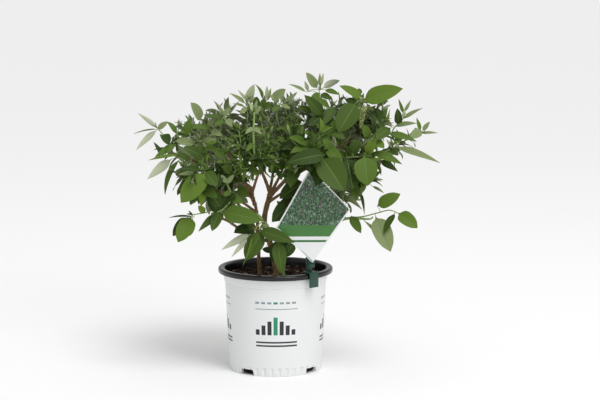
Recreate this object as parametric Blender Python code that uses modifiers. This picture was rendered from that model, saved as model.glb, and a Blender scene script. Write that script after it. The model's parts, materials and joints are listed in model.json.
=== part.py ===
"""A young butterfly bush standing in its nursery pot.

The pot is a turned white shell with a black rolled rim and lining, filled with
potting mix.  Three stems stand in the mix and fork into boughs.  Each bough ends
in a mass of leafy shoots that keeps to its own space.  A plant label stands in a
green clip that hooks over the rim.

Units are metres.  X is to the right, Y is away from the viewer and Z is up.  The
origin is the middle of the pot's flat underside.
"""

import math
import random
from dataclasses import dataclass

import bmesh
import bpy
from mathutils import Matrix, Vector
from mathutils.bvhtree import BVHTree
from mathutils.geometry import interpolate_bezier

MM = 0.001
GAP = 0.3 * MM
UP = Vector((0, 0, 1))
RIGHT = Vector((1, 0, 0))

# Pot
POT_HEIGHT = 148 * MM
RIM_RADIUS = 82.5 * MM
RIM_DEPTH = 7.4 * MM
RIM_INSIDE = 74.2 * MM
COLLAR_RADIUS = 75.6 * MM
COLLAR_DEPTH = 13 * MM
SHOULDER_RADIUS = 72.6 * MM
FOOT_RADIUS = 66.5 * MM
WALL = 1.5 * MM
FLOOR = 2 * MM
FOOT_RING = 6 * MM
FOOT_RING_HEIGHT = 12 * MM
LINING = 0.8 * MM
LINING_DEPTH = 20 * MM
SOIL_LEVEL = 136 * MM
TURNED_STEPS = 30
NOTCHES = 4
NOTCH_BEARING = math.radians(-38)
NOTCH_WIDTH = 19 * MM
NOTCH_HEIGHT = 8.5 * MM
NOTCH_DEPTH = 4.5 * MM

# Label and clip
CLIP_BEARING = math.radians(40)
CLIP_WIDTH = 10 * MM
CLIP_THICKNESS = 2.4 * MM
CLIP_TOP = 173 * MM
CLIP_SETBACK = 2.2 * MM
CLIP_TAB_LOW = 129 * MM
CARD_THICKNESS = 0.6 * MM
CARD_DEPTH = -59 * MM
CARD_FOOT = Vector((52.3, 163.3)) * MM
CARD_CORNERS = ((0, 0), (53.5, 76.5), (-3.5, 135.5), (-51.5, 50.5))
CRADLE_SIZE = Vector((9, 9, 9)) * MM
CRADLE_OFFSET = Vector((-1, 1.5, -1.8)) * MM
SLOT_SIZE = Vector((30, 1.4, 20)) * MM
SLOT_OFFSET = Vector((6, 0, 9.6)) * MM
ARM_SETBACK = 0.2 * MM
RIM_PLAY = 0.6 * MM

# Stems and boughs, in millimetres
JOINT_GAP = 0.3
FLARE = 1.5
BEND_STEPS = 2
LIMB_CLEARANCE = 0.6

# Shoots: radii in millimetres, places as shares of a length
STEM_RADII = (2.5, 2)
STEM_STEPS = 4
STEM_PULL = 0.35
STEM_RISE = 0.2
FIRST_SHOOT = 0.12
LAST_SHOOT = 0.97
SHOOT_RADII = (1.3, 1)
SHOOT_STEPS = 2
SHOOT_PULL = 0.4
SHOOT_FINISH = 0.3
SHOOT_RISE = 0.6
GOLDEN_ANGLE = math.pi * (3 - math.sqrt(5))
FAN_JITTER = 0.6
FAN_OUTWARD = 0.55
FAN_STRETCH = (0.8, 1.05)
CROWN_MIDDLE = Vector((0, 0, 265))

# Leaves: lengths in millimetres, breadths and places as shares of a leaf's or a shoot's length
PAIRS = 2
FIRST_PAIR = 0.3
SHORT_OF_END = 0.05
LEAF_BREADTH = 0.44
TUFT_BREADTH = 0.3
TUFT_SIZE = 0.72
LEAF_SIZES = (0.9, 1.1)
LEAF_THICKNESS = 1.3
WIDEST_AT = 0.42
THICKEST_AT = 0.22
ROOT_SINK = 0.1
ROOT_ZONE = 4
LEAF_LEAN = math.radians(62)
TUFT_LEAN = math.radians(30)
TURN_JITTER = 0.25
LEAN_JITTER = 0.15
LEAF_DROOP = 0.35
NEARLY_LEVEL = 0.9
FACE_UP = 0.5
FACE_OUT = 0.7
FACE_ALONG = 0.3
FACE_SQUASH = 0.45
LEAF_TRIES = ((1, 0), (1, 0.5), (1, -0.5), (0.8, 0), (0.8, 0.5), (0.8, -0.5), (0.62, 0))
LOWEST_LEAF = 151
SPACE_MARGIN = 0.25


@dataclass(frozen=True)
class Limb:
    """A stem or bough: its parent, how far up that it leaves, its bends and its end radii, in mm."""

    parent: str
    leaves_at: float
    bends: tuple
    radii: tuple
    colour: str = "old_wood"


@dataclass(frozen=True)
class Mass:
    """A mass of leafy shoots: the limb it grows from, the middle and half sizes of its space, in mm."""

    limb: str
    heart: tuple
    reach: tuple
    shoots: int
    leaf: float


@dataclass(frozen=True)
class Leader:
    """A shoot of the crown's outline: its tip, its leaves' length and turn, and whether it ends open."""

    tip: tuple
    leaf: float
    turn: float
    open_end: bool = False


LIMBS = {
    "main_stem": Limb(
        "",
        0,
        ((1, -20, 136.3), (1, -20, 139), (1, -20, 146), (-5, -14, 175), (-16, -2, 213), (-7, 2, 255)),
        (4.6, 3.4),
    ),
    "left_stem": Limb(
        "",
        0,
        ((-23, -14, 136.3), (-23, -14, 139), (-23, -14, 146), (-25, -8, 185), (-27, -1, 228), (-36, 4, 260)),
        (2.9, 2),
    ),
    "green_stem": Limb(
        "",
        0,
        ((11, -22, 136.3), (11, -22, 139), (11, -22, 146), (14, -20, 175), (25, -14, 204)),
        (2.6, 2),
        "young_wood",
    ),
    "bough_top_left": Limb("main_stem", 0.99, ((-17, 0, 280), (-28, 5, 303)), (2.6, 1.8)),
    "bough_top_right": Limb("main_stem", 0.95, ((17, 0, 276), (35, 2, 298), (49, 6, 316)), (3, 1.8)),
    "bough_top_centre": Limb("main_stem", 0.97, ((8, 4, 282), (13, 6, 298)), (2.2, 1.8)),
    "bough_right": Limb("bough_top_right", 0.4, ((54, -6, 296), (96, -10, 324)), (2.2, 1.8)),
    "bough_far_right": Limb("bough_right", 0.55, ((94, -12, 300), (136, -9, 308)), (2, 1.8)),
    "bough_right_front": Limb("main_stem", 0.88, ((24, -24, 266), (58, -36, 280)), (2.2, 1.8)),
    "bough_front_right": Limb("bough_right_front", 0.4, ((20, -32, 284), (32, -44, 298)), (2, 1.8)),
    "bough_back": Limb("main_stem", 0.86, ((-4, 36, 274), (0, 66, 300)), (2.2, 1.8)),
    "bough_back_right": Limb("main_stem", 0.92, ((24, 34, 280), (52, 58, 296)), (2.2, 1.8)),
    "bough_left": Limb("left_stem", 0.99, ((-54, 6, 284), (-78, 12, 308)), (2, 1.8)),
    "bough_left_middle": Limb("left_stem", 0.96, ((-43, -8, 268), (-51, -14, 276)), (2, 1.8)),
    "bough_far_left": Limb("left_stem", 0.88, ((-70, -8, 276), (-116, -20, 304)), (2, 1.8)),
    "bough_left_front": Limb("left_stem", 0.72, ((-52, -24, 248), (-80, -44, 264)), (2, 1.8)),
    "bough_front": Limb("left_stem", 0.94, ((-27, -18, 277), (-20, -38, 298)), (2, 1.8), "red_wood"),
    "bough_back_left": Limb("left_stem", 0.82, ((-50, 36, 272), (-64, 62, 296)), (2, 1.8)),
    "bough_low_left": Limb("main_stem", 0.42, ((-38, -24, 198), (-66, -42, 220)), (2.2, 1.8)),
    "bough_low_front": Limb("main_stem", 0.5, ((-12, -30, 206), (-18, -42, 214)), (2.1, 1.8), "young_wood"),
    "bough_low_back_left": Limb("left_stem", 0.5, ((-42, 24, 220), (-56, 46, 234)), (2, 1.8)),
    "bough_low_right": Limb("green_stem", 0.7, ((60, -24, 208), (100, -32, 222)), (2.1, 1.8), "young_wood"),
    "bough_low_back_right": Limb(
        "green_stem",
        0.85,
        ((44, 20, 222), (62, 44, 234)),
        (2.1, 1.8),
        "young_wood",
    ),
}

MASSES = {
    "leaves_top_left": Mass("bough_top_left", (-46, 6, 338), (44, 46, 46), 4, 40),
    "leaves_top_centre": Mass("bough_top_centre", (12, 12, 334), (38, 46, 46), 5, 42),
    "leaves_top_right": Mass("bough_top_right", (66, 14, 348), (38, 46, 46), 3, 46),
    "leaves_upper_right": Mass("bough_right", (120, -10, 352), (40, 46, 40), 4, 52),
    "leaves_right_tip": Mass("bough_far_right", (174, -8, 324), (34, 46, 34), 2, 48),
    "leaves_right_front": Mass("bough_right_front", (98, -44, 294), (44, 34, 34), 6, 56),
    "leaves_front_right": Mass("bough_front_right", (42, -64, 320), (40, 34, 36), 5, 44),
    "leaves_right_low": Mass("bough_low_right", (138, -40, 226), (36, 40, 26), 2, 46),
    "leaves_far_left": Mass("bough_far_left", (-150, -24, 321), (32, 42, 34), 2, 45),
    "leaves_left_upper": Mass("bough_left", (-100, 14, 332), (40, 44, 36), 4, 44),
    "leaves_left_front": Mass("bough_left_front", (-104, -54, 280), (40, 38, 34), 5, 52),
    "leaves_left_middle": Mass("bough_left_middle", (-62, -18, 284), (34, 34, 34), 5, 44),
    "leaves_low_left": Mass("bough_low_left", (-90, -58, 234), (34, 34, 26), 3, 46),
    "leaves_low_front": Mass("bough_low_front", (-22, -56, 208), (36, 30, 30), 2, 52),
    "leaves_low_centre": Mass("green_stem", (30, -8, 232), (32, 26, 30), 3, 48),
    "leaves_front": Mass("bough_front", (-22, -66, 316), (44, 34, 38), 5, 44),
    "leaves_back_left": Mass("bough_back_left", (-86, 90, 318), (46, 44, 44), 4, 52),
    "leaves_back": Mass("bough_back", (0, 104, 330), (44, 44, 44), 4, 52),
    "leaves_back_right": Mass("bough_back_right", (88, 90, 322), (46, 44, 44), 4, 52),
    "leaves_low_back_left": Mass("bough_low_back_left", (-74, 70, 244), (40, 40, 30), 4, 52),
    "leaves_low_back_right": Mass("bough_low_back_right", (82, 66, 244), (40, 40, 30), 4, 52),
}

LEADERS = {
    "leaves_top_left": (Leader((-42, 0, 390), 36, 0), Leader((-74, -16, 376), 30, 30)),
    "leaves_top_centre": (Leader((8, 0, 386), 32, 20),),
    "leaves_top_right": (
        Leader((63, 14, 405), 36, 10),
        Leader((44, 24, 403), 32, 60),
        Leader((86, 6, 398), 36, 80),
    ),
    "leaves_upper_right": (Leader((126, -10, 396), 58, 0, True), Leader((106, -50, 386), 46, 60)),
    "leaves_right_tip": (
        Leader((183, 0, 364), 34, 0),
        Leader((210, -8, 345), 30, 40),
        Leader((190, -24, 316), 54, 0, True),
    ),
    "leaves_right_low": (Leader((166, -50, 234), 42, 0, True), Leader((150, -30, 216), 44, 30, True)),
    "leaves_far_left": (Leader((-167, -20, 352), 40, 60), Leader((-152, -46, 306), 44, 20)),
    "leaves_left_upper": (Leader((-102, 8, 370), 42, 0),),
    "leaves_low_left": (Leader((-122, -68, 238), 46, 0, True),),
    "leaves_low_front": (Leader((-44, -62, 204), 46, 0, True), Leader((8, -54, 206), 46, 90, True)),
}

SURFACES = {
    "white_plastic": ("#eef0ee", 0.42),
    "black_plastic": ("#17181a", 0.3),
    "potting_mix": ("#33241b", 0.95),
    "old_wood": ("#6a4a37", 0.85),
    "red_wood": ("#7d4632", 0.8),
    "young_wood": ("#93a566", 0.6),
    "leaf": ("#5a7d3a", 0.55),
    "label_card": ("#f1f3f0", 0.4),
    "clip_plastic": ("#1f4a38", 0.45),
}


def linear(channel):
    """One sRGB channel, 0 to 1, as linear light."""
    if channel <= 0.04045:
        return channel / 12.92
    return ((channel + 0.055) / 1.055) ** 2.4


def surface(name):
    """The material of this name, made on first use."""
    if name in bpy.data.materials:
        return bpy.data.materials[name]
    colour, roughness = SURFACES[name]
    material = bpy.data.materials.new(name)
    material.use_nodes = True
    shader = material.node_tree.nodes["Principled BSDF"]
    channels = [linear(int(colour[i : i + 2], 16) / 255) for i in (1, 3, 5)]
    shader.inputs["Base Color"].default_value = (*channels, 1)
    shader.inputs["Roughness"].default_value = roughness
    shader.inputs["Metallic"].default_value = 0
    return material


def collection(name):
    """A new collection in the scene."""
    made = bpy.data.collections.new(name)
    bpy.context.scene.collection.children.link(made)
    return made


def add_object(name, mesh, home, finish=None):
    """An object of this mesh in the collection home."""
    made = bpy.data.objects.new(name, mesh)
    if finish:
        mesh.materials.clear()
        mesh.materials.append(surface(finish))
    home.objects.link(made)
    return made


def settled_mesh(made):
    """A new mesh of the object as its modifiers or its curve make it."""
    bpy.context.view_layer.update()
    graph = bpy.context.evaluated_depsgraph_get()
    return bpy.data.meshes.new_from_object(made.evaluated_get(graph))


def apply_boolean(made, operation, home):
    """Join or cut an object by all the objects of a collection, then remove those."""
    modifier = made.modifiers.new(operation.title(), "BOOLEAN")
    modifier.operation = operation
    modifier.solver = "EXACT"
    modifier.operand_type = "COLLECTION"
    modifier.collection = home
    result = settled_mesh(made)
    made.modifiers.clear()
    made.data = result
    for tool in list(home.objects):
        bpy.data.objects.remove(tool)
    bpy.data.collections.remove(home)


def keep_main_body(mesh):
    """Keep the mesh's largest body: loose scraps and sealed hollows are dropped."""
    body = bmesh.new()
    body.from_mesh(mesh)
    left = set(body.faces)
    bodies = []
    while left:
        found = {left.pop()}
        edge = list(found)
        while edge:
            face = edge.pop()
            for neighbour in (f for e in face.edges for f in e.link_faces):
                if neighbour in left:
                    left.remove(neighbour)
                    found.add(neighbour)
                    edge.append(neighbour)
        bodies.append(found)
    bodies.sort(key=lambda faces: sum(face.calc_area() for face in faces))
    scraps = [face for faces in bodies[:-1] for face in faces]
    bmesh.ops.delete(body, geom=scraps, context="FACES")
    body.to_mesh(mesh)
    body.free()


# Pot


def turned(name, profile, finish, home):
    """A solid of revolution from a profile of (radius, height), run down its outer side."""
    mesh = bpy.data.meshes.new(name)
    points = [(radius, 0, height) for radius, height in profile]
    closed = profile[0][0] > 0
    edges = [(i, i + 1) for i in range(len(points) - 1)]
    if closed:
        edges.append((len(points) - 1, 0))
    mesh.from_pydata(points, edges, [])
    made = add_object(name, mesh, home, finish)
    screw = made.modifiers.new("Turn", "SCREW")
    screw.steps = TURNED_STEPS
    screw.render_steps = TURNED_STEPS
    screw.use_merge_vertices = True
    screw.merge_threshold = 0.00001
    mesh = settled_mesh(made)
    made.modifiers.clear()
    made.data = mesh
    mesh.shade_smooth()
    mesh.set_sharp_from_angle(angle=math.radians(30))
    return made


def wall_radius(height):
    """The pot wall's outer radius at a height, between its foot and its collar."""
    share = height / (POT_HEIGHT - RIM_DEPTH - COLLAR_DEPTH)
    return FOOT_RADIUS + share * (SHOULDER_RADIUS - FOOT_RADIUS)


def bearing(angle, radius, height=0.0):
    """A point at this bearing, turned from the front towards the right."""
    return Vector((radius * math.sin(angle), -radius * math.cos(angle), height))


def box(size, place, turn=0.0):
    """A box mesh of this size, with its middle at place, turned about Z."""
    mesh = bpy.data.meshes.new("box")
    shape = bmesh.new()
    bmesh.ops.create_cube(shape, size=1)
    matrix = Matrix.Translation(place) @ Matrix.Rotation(turn, 4, "Z") @ Matrix.Diagonal((*size, 1))
    bmesh.ops.transform(shape, matrix=matrix, verts=shape.verts)
    shape.to_mesh(mesh)
    shape.free()
    return mesh


def pot_wall(home):
    """The white wall with its collar, and a foot ring with drainage notches."""
    top = POT_HEIGHT - RIM_DEPTH - GAP
    shoulder = top - COLLAR_DEPTH
    ring_top = FOOT_RING_HEIGHT
    profile = (
        (COLLAR_RADIUS, top),
        (SHOULDER_RADIUS + 1 * MM, shoulder + 1.2 * MM),
        (SHOULDER_RADIUS, shoulder),
        (FOOT_RADIUS, 1 * MM),
        (FOOT_RADIUS - 1 * MM, 0),
        (0, 0),
        (0, FLOOR),
        (FOOT_RADIUS - FOOT_RING, FLOOR),
        (FOOT_RADIUS - FOOT_RING + 0.5 * MM, ring_top),
        (wall_radius(ring_top) - WALL, ring_top + 2 * MM),
        (SHOULDER_RADIUS - WALL, shoulder),
        (COLLAR_RADIUS - WALL, top),
    )
    wall = turned("pot_wall", profile, "white_plastic", home)
    cutters = collection("notch_cutters")
    for i in range(NOTCHES):
        angle = NOTCH_BEARING + i * math.tau / NOTCHES
        size = (NOTCH_WIDTH, 2 * NOTCH_DEPTH, 2 * NOTCH_HEIGHT)
        add_object(f"notch_{i}", box(size, bearing(angle, FOOT_RADIUS), angle), cutters)
    apply_boolean(wall, "DIFFERENCE", cutters)
    wall.data.materials.clear()
    wall.data.materials.append(surface("white_plastic"))
    return wall


def pot_rim(home):
    """The black rolled rim and the black lining that hangs inside the wall."""
    top = POT_HEIGHT
    low = top - RIM_DEPTH
    inside = COLLAR_RADIUS - WALL - GAP
    slope = (COLLAR_RADIUS - SHOULDER_RADIUS) / COLLAR_DEPTH
    lining_low = inside - slope * (LINING_DEPTH - RIM_DEPTH)
    profile = (
        (RIM_INSIDE + 1 * MM, top),
        (RIM_RADIUS - 2 * MM, top),
        (RIM_RADIUS - 0.5 * MM, top - 1 * MM),
        (RIM_RADIUS, top - 2.5 * MM),
        (RIM_RADIUS, low + 2 * MM),
        (RIM_RADIUS - 1.5 * MM, low),
        (inside, low),
        (lining_low, top - LINING_DEPTH),
        (lining_low - LINING, top - LINING_DEPTH),
        (inside - LINING, low),
        (inside - LINING, top - 2 * MM),
    )
    return turned("pot_rim", profile, "black_plastic", home)


def potting_mix(home):
    """The mix that fills the pot, flat at the level that the stems stand on."""
    shoulder = POT_HEIGHT - RIM_DEPTH - COLLAR_DEPTH
    slope = (COLLAR_RADIUS - SHOULDER_RADIUS) / COLLAR_DEPTH
    lining_low = COLLAR_RADIUS - WALL - GAP - slope * (LINING_DEPTH - RIM_DEPTH) - LINING - GAP
    profile = (
        (0, SOIL_LEVEL),
        (lining_low, SOIL_LEVEL),
        (lining_low - 0.4 * MM, shoulder - 2 * MM),
        (wall_radius(FOOT_RING_HEIGHT + 3 * MM) - WALL - 2 * GAP, FOOT_RING_HEIGHT + 3 * MM),
        (FOOT_RADIUS - FOOT_RING - GAP, FOOT_RING_HEIGHT),
        (FOOT_RADIUS - FOOT_RING - 2 * GAP, FLOOR + GAP),
        (0, FLOOR + GAP),
    )
    return turned("potting_mix", profile, "potting_mix", home)


# Label and clip


def label_card(home):
    """The kite-shaped plant label, a flat outline given its thickness."""
    outline = bpy.data.curves.new("label_card", "CURVE")
    outline.dimensions = "2D"
    outline.fill_mode = "BOTH"
    outline.extrude = CARD_THICKNESS / 2
    spline = outline.splines.new("POLY")
    spline.points.add(len(CARD_CORNERS) - 1)
    for point, corner in zip(spline.points, CARD_CORNERS):
        across, height = Vector(corner) * MM + CARD_FOOT
        point.co = (across, height, 0, 1)
    spline.use_cyclic_u = True
    card = bpy.data.objects.new("label_outline", outline)
    home.objects.link(card)
    mesh = settled_mesh(card)
    bpy.data.objects.remove(card)
    shape = bmesh.new()
    shape.from_mesh(mesh)
    bmesh.ops.remove_doubles(shape, verts=shape.verts, dist=0.00001)
    stand = Matrix.Translation((0, CARD_DEPTH, 0)) @ Matrix.Rotation(math.pi / 2, 4, "X")
    bmesh.ops.transform(shape, matrix=stand, verts=shape.verts)
    bmesh.ops.recalc_face_normals(shape, faces=shape.faces)
    shape.to_mesh(mesh)
    shape.free()
    return add_object("label_card", mesh, home, "label_card")


def label_clip(home):
    """The clip: a post inside the rim, an arm over it, a tab outside and a slotted cradle."""
    inside = COLLAR_RADIUS - WALL - GAP - LINING
    post_radius = inside - CLIP_SETBACK - CLIP_THICKNESS / 2
    tab_radius = RIM_RADIUS + RIM_PLAY + CLIP_THICKNESS / 2
    post_low = SOIL_LEVEL + GAP
    post_size = (CLIP_WIDTH, CLIP_THICKNESS, CLIP_TOP - post_low)
    arm_height = POT_HEIGHT + RIM_PLAY + CLIP_THICKNESS / 2
    arm_size = (CLIP_WIDTH - 2 * ARM_SETBACK, tab_radius - post_radius, CLIP_THICKNESS - ARM_SETBACK)
    tab_size = (CLIP_WIDTH, CLIP_THICKNESS, arm_height + CLIP_THICKNESS / 2 - CLIP_TAB_LOW)
    turn = CLIP_BEARING
    clip = add_object(
        "label_clip",
        box(post_size, bearing(turn, post_radius, (CLIP_TOP + post_low) / 2), turn),
        home,
    )
    pieces = collection("clip_pieces")
    middle = (post_radius + tab_radius) / 2
    add_object("arm", box(arm_size, bearing(turn, middle, arm_height), turn), pieces)
    tab_height = CLIP_TAB_LOW + tab_size[2] / 2
    add_object("tab", box(tab_size, bearing(turn, tab_radius, tab_height), turn), pieces)
    card_foot = Vector((CARD_FOOT.x, CARD_DEPTH, CARD_FOOT.y))
    add_object("cradle", box(CRADLE_SIZE, card_foot + CRADLE_OFFSET), pieces)
    apply_boolean(clip, "UNION", pieces)
    slot = collection("slot_cutters")
    add_object("slot", box(SLOT_SIZE, card_foot + SLOT_OFFSET), slot)
    apply_boolean(clip, "DIFFERENCE", slot)
    keep_main_body(clip.data)
    clip.data.materials.clear()
    clip.data.materials.append(surface("clip_plastic"))
    return clip


# Stems and boughs


def smooth_path(points, steps):
    """A smooth line through points, with this many steps between each two."""
    path = [points[0].copy()]
    for i in range(len(points) - 1):
        before = points[max(i - 1, 0)]
        after = points[min(i + 2, len(points) - 1)]
        here, there = points[i], points[i + 1]
        leave = here + (there - before) / 6
        arrive = there - (after - here) / 6
        path += interpolate_bezier(here, leave, arrive, there, steps + 1)[1:]
    return path


def point_along(path, share):
    """The point at this share of a path's length, and the path's direction there."""
    lengths = [(b - a).length for a, b in zip(path, path[1:])]
    target = share * sum(lengths)
    for start, end, length in zip(path, path[1:], lengths):
        if target <= length or end is path[-1]:
            return start.lerp(end, min(target / length, 1)), (end - start).normalized()
        target -= length
    raise ValueError("a path needs two points")


def limb_paths():
    """Each limb's middle line in millimetres, by name."""
    paths = {}
    for name, limb in LIMBS.items():
        bends = [Vector(bend) for bend in limb.bends]
        if limb.parent:
            bends.insert(0, point_along(paths[limb.parent], limb.leaves_at)[0])
        paths[name] = smooth_path(bends, BEND_STEPS)
    return paths


def limb_radii(limb, count):
    """The limb's radius at each of its path's points: a true taper, and a flare at the foot of a stem."""
    first, last = limb.radii
    radii = [first + (last - first) * i / (count - 1) for i in range(count)]
    if not limb.parent:
        radii[0] *= FLARE
        radii[1] *= 1 + (FLARE - 1) / 3
    return radii


def tube_mesh(path, radii, sides_setting=1, extra=0.0):
    """A closed tube in metres along a path in millimetres, from a curve with a round bevel."""
    curve = bpy.data.curves.new("tube", "CURVE")
    curve.dimensions = "3D"
    curve.bevel_depth = MM
    curve.bevel_resolution = sides_setting
    curve.use_fill_caps = True
    spline = curve.splines.new("POLY")
    spline.points.add(len(path) - 1)
    for point, place, radius in zip(spline.points, path, radii):
        point.co = (*(place * MM), 1)
        point.radius = radius + extra
    made = bpy.data.objects.new("tube", curve)
    bpy.context.scene.collection.objects.link(made)
    mesh = settled_mesh(made)
    bpy.data.objects.remove(made)
    shape = bmesh.new()
    shape.from_mesh(mesh)
    bmesh.ops.remove_doubles(shape, verts=shape.verts, dist=0.000001)
    bmesh.ops.recalc_face_normals(shape, faces=shape.faces)
    shape.to_mesh(mesh)
    shape.free()
    return mesh


def add_limb(name, paths, home):
    """One limb, cut clear of the limbs that it leaves and of those that leave beside it."""
    limb = LIMBS[name]
    path = paths[name]
    roundness = 1 if limb.parent else 2
    made = add_object(name, tube_mesh(path, limb_radii(limb, len(path)), roundness), home)
    if limb.parent:
        cutters = collection("limb_cutters")
        for other in list(paths)[: list(paths).index(name)]:
            if limb.parent in (other, LIMBS[other].parent):
                radii = limb_radii(LIMBS[other], len(paths[other]))
                end = paths[other][-1]
                run = (end - paths[other][-2]).normalized()
                longer = paths[other][:-1] + [end + run * LIMB_CLEARANCE]
                add_object(f"{other}_cutter", tube_mesh(longer, radii, 2, JOINT_GAP), cutters)
        apply_boolean(made, "DIFFERENCE", cutters)
        keep_main_body(made.data)
    made.data.materials.clear()
    made.data.materials.append(surface(limb.colour))
    made.data.shade_smooth()
    made.data.set_sharp_from_angle(angle=math.radians(40))
    return made


# Shoots and leaves


def fan_tips(name):
    """Tips spread evenly round the outer side of a mass, by a golden-angle spiral."""
    mass = MASSES[name]
    heart = Vector(mass.heart)
    outward = (heart - CROWN_MIDDLE).normalized()
    dice = random.Random(name)
    for i in range(mass.shoots):
        height = 1 - 2 * (i + 0.5) / mass.shoots
        angle = i * GOLDEN_ANGLE + dice.uniform(0, FAN_JITTER)
        ring = math.sqrt(1 - height * height)
        way = Vector((ring * math.cos(angle), ring * math.sin(angle), height)) + outward * FAN_OUTWARD
        way.normalize()
        stretch = dice.uniform(*FAN_STRETCH)
        yield heart + Vector([reach * part * stretch for reach, part in zip(mass.reach, way)])


def mass_shoots(name):
    """Each shoot of a mass as (tip, leaf length, turn, open end), the outline's own shoots first."""
    for leader in LEADERS.get(name, ()):
        yield Vector(leader.tip), leader.leaf, math.radians(leader.turn), leader.open_end
    for i, tip in enumerate(fan_tips(name)):
        yield tip, MASSES[name].leaf, i * GOLDEN_ANGLE, False


def shoot_path(start, heading, tip):
    """A shoot's middle line, leaving along heading and turning up towards its tip."""
    reach = (tip - start).length
    way = (tip - start) / reach
    finish = (way + UP * SHOOT_RISE).normalized()
    leave = start + (heading + way).normalized() * reach * SHOOT_PULL
    arrive = tip - finish * reach * SHOOT_FINISH
    return interpolate_bezier(start, leave, arrive, tip, SHOOT_STEPS + 1)


@dataclass(frozen=True)
class Place:
    """Where a leaf sits: its point, the shoot's direction, its turn round that and its lean from it."""

    point: Vector
    along: Vector
    turn: float
    lean: float
    length: float
    tuft: bool


def shoot_leaves(path, leaf, turn, open_end, dice):
    """Places for a shoot's leaves, in crossed pairs: the last one is a small upright tuft, or open."""
    for k in range(PAIRS + 1):
        share = FIRST_PAIR + (1 - FIRST_PAIR) * k / PAIRS
        point, along = point_along(path, share - SHORT_OF_END)
        tuft = k == PAIRS and not open_end
        for half in (0, 1):
            angle = turn + k * math.pi / 2 + half * math.pi + dice.uniform(-TURN_JITTER, TURN_JITTER)
            lean = (TUFT_LEAN if tuft else LEAF_LEAN) + dice.uniform(-LEAN_JITTER, LEAN_JITTER)
            size = leaf * (TUFT_SIZE if tuft else dice.uniform(*LEAF_SIZES))
            yield Place(point, along, angle, lean, size, tuft)


def leaf_frame(place, swing):
    """A leaf's direction, leaning out from its shoot and drooping, and its face, up and out of the crown."""
    across = UP if abs(place.along.x) > NEARLY_LEVEL else RIGHT
    side = across - place.along * place.along.dot(across)
    out = Matrix.Rotation(place.turn + swing, 3, place.along) @ side.normalized()
    way = place.along * math.cos(place.lean) + out * math.sin(place.lean)
    if not place.tuft:
        way -= UP * LEAF_DROOP
    way.normalize()
    outward = Vector((place.point.x * FACE_SQUASH, place.point.y, 0)).normalized()
    face = UP * FACE_UP + outward * FACE_OUT + place.along * FACE_ALONG
    face -= way * face.dot(way)
    return way, face.normalized()


def try_leaf(place, clear_of, name, blocked):
    """The first size and swing of a leaf that fits its place, as a mesh, or nothing."""
    breadth = TUFT_BREADTH if place.tuft else LEAF_BREADTH
    for size, swing in LEAF_TRIES:
        way, face = leaf_frame(place, swing)
        length = place.length * size
        blade = leaf_mesh(place.point, way, face, length, breadth)
        free_part = leaf_mesh(place.point + way * ROOT_ZONE, way, face, length - ROOT_ZONE, breadth)
        tree = tree_of([blade])
        free_tree = tree_of([free_part])
        touching = blocked.overlap(tree) or any(other.overlap(free_tree) for other in clear_of)
        if in_own_space(blade, name) and not touching:
            clear_of.append(tree)
            return blade
    return None


def leaf_mesh(root, way, face, length, breadth):
    """A leaf of eight faces: a four-sided ball of six points drawn out to root, tip, edges and ribs."""
    mesh = bpy.data.meshes.new("leaf")
    shape = bmesh.new()
    bmesh.ops.create_uvsphere(shape, u_segments=4, v_segments=2, radius=1)
    across = face.cross(way)
    for corner in shape.verts:
        x, y, z = (round(value) for value in corner.co)
        along = (x + 1) / 2 * length if x else length * (WIDEST_AT if y else THICKEST_AT)
        along -= ROOT_SINK
        place = root + way * along + across * (y * breadth * length / 2)
        place += face * (z * LEAF_THICKNESS / 2)
        corner.co = place * MM
    bmesh.ops.recalc_face_normals(shape, faces=shape.faces)
    shape.to_mesh(mesh)
    shape.free()
    return mesh


def twig_mesh(path, radii, heading=None):
    """A three-sided twig: a triangle extruded from point to point, its first end square to heading."""
    mesh = bpy.data.meshes.new("twig")
    shape = bmesh.new()
    frames = []
    ways = [after - before for before, after in zip(path[:1] + path, path[1:] + path[-1:])]
    if heading:
        ways[0] = heading
    facing = ways[0].to_track_quat("Z", "Y")
    for i, (place, way) in enumerate(zip(path, ways)):
        facing = (facing @ UP).rotation_difference(way) @ facing
        radius = radii[0] + (radii[1] - radii[0]) * i / (len(path) - 1)
        turned_to = facing.to_matrix().to_4x4()
        frames.append(Matrix.Translation(place * MM) @ turned_to @ Matrix.Scale(radius * MM, 4))
    bmesh.ops.create_circle(shape, segments=3, radius=1, cap_ends=True, matrix=frames[0])
    end = list(shape.faces)
    for before, after in zip(frames, frames[1:]):
        grown = bmesh.ops.extrude_face_region(shape, geom=end)["geom"]
        if before is not frames[0]:
            bmesh.ops.delete(shape, geom=end, context="FACES_ONLY")
        corners = [item for item in grown if isinstance(item, bmesh.types.BMVert)]
        end = [item for item in grown if isinstance(item, bmesh.types.BMFace)]
        bmesh.ops.transform(shape, matrix=after @ before.inverted(), verts=corners)
    bmesh.ops.triangulate(shape, faces=shape.faces)
    bmesh.ops.recalc_face_normals(shape, faces=shape.faces)
    shape.to_mesh(mesh)
    shape.free()
    return mesh


def in_own_space(mesh, name):
    """Whether every corner is nearer this mass's heart than any other's, and above the pot's rim."""
    heart = Vector(MASSES[name].heart)
    others = [Vector(mass.heart) for other, mass in MASSES.items() if other != name]
    for vertex in mesh.vertices:
        place = vertex.co / MM
        if place.z < LOWEST_LEAF:
            return False
        for other in others:
            middle = (heart + other) / 2
            if (place - middle).dot((other - heart).normalized()) > -SPACE_MARGIN:
                return False
    return True


def tree_of(meshes):
    """A search tree of the faces of several meshes."""
    points = []
    faces = []
    for mesh in meshes:
        first = len(points)
        points += [vertex.co.copy() for vertex in mesh.vertices]
        faces += [[first + i for i in face.vertices] for face in mesh.polygons]
    return BVHTree.FromPolygons(points, faces)


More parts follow.
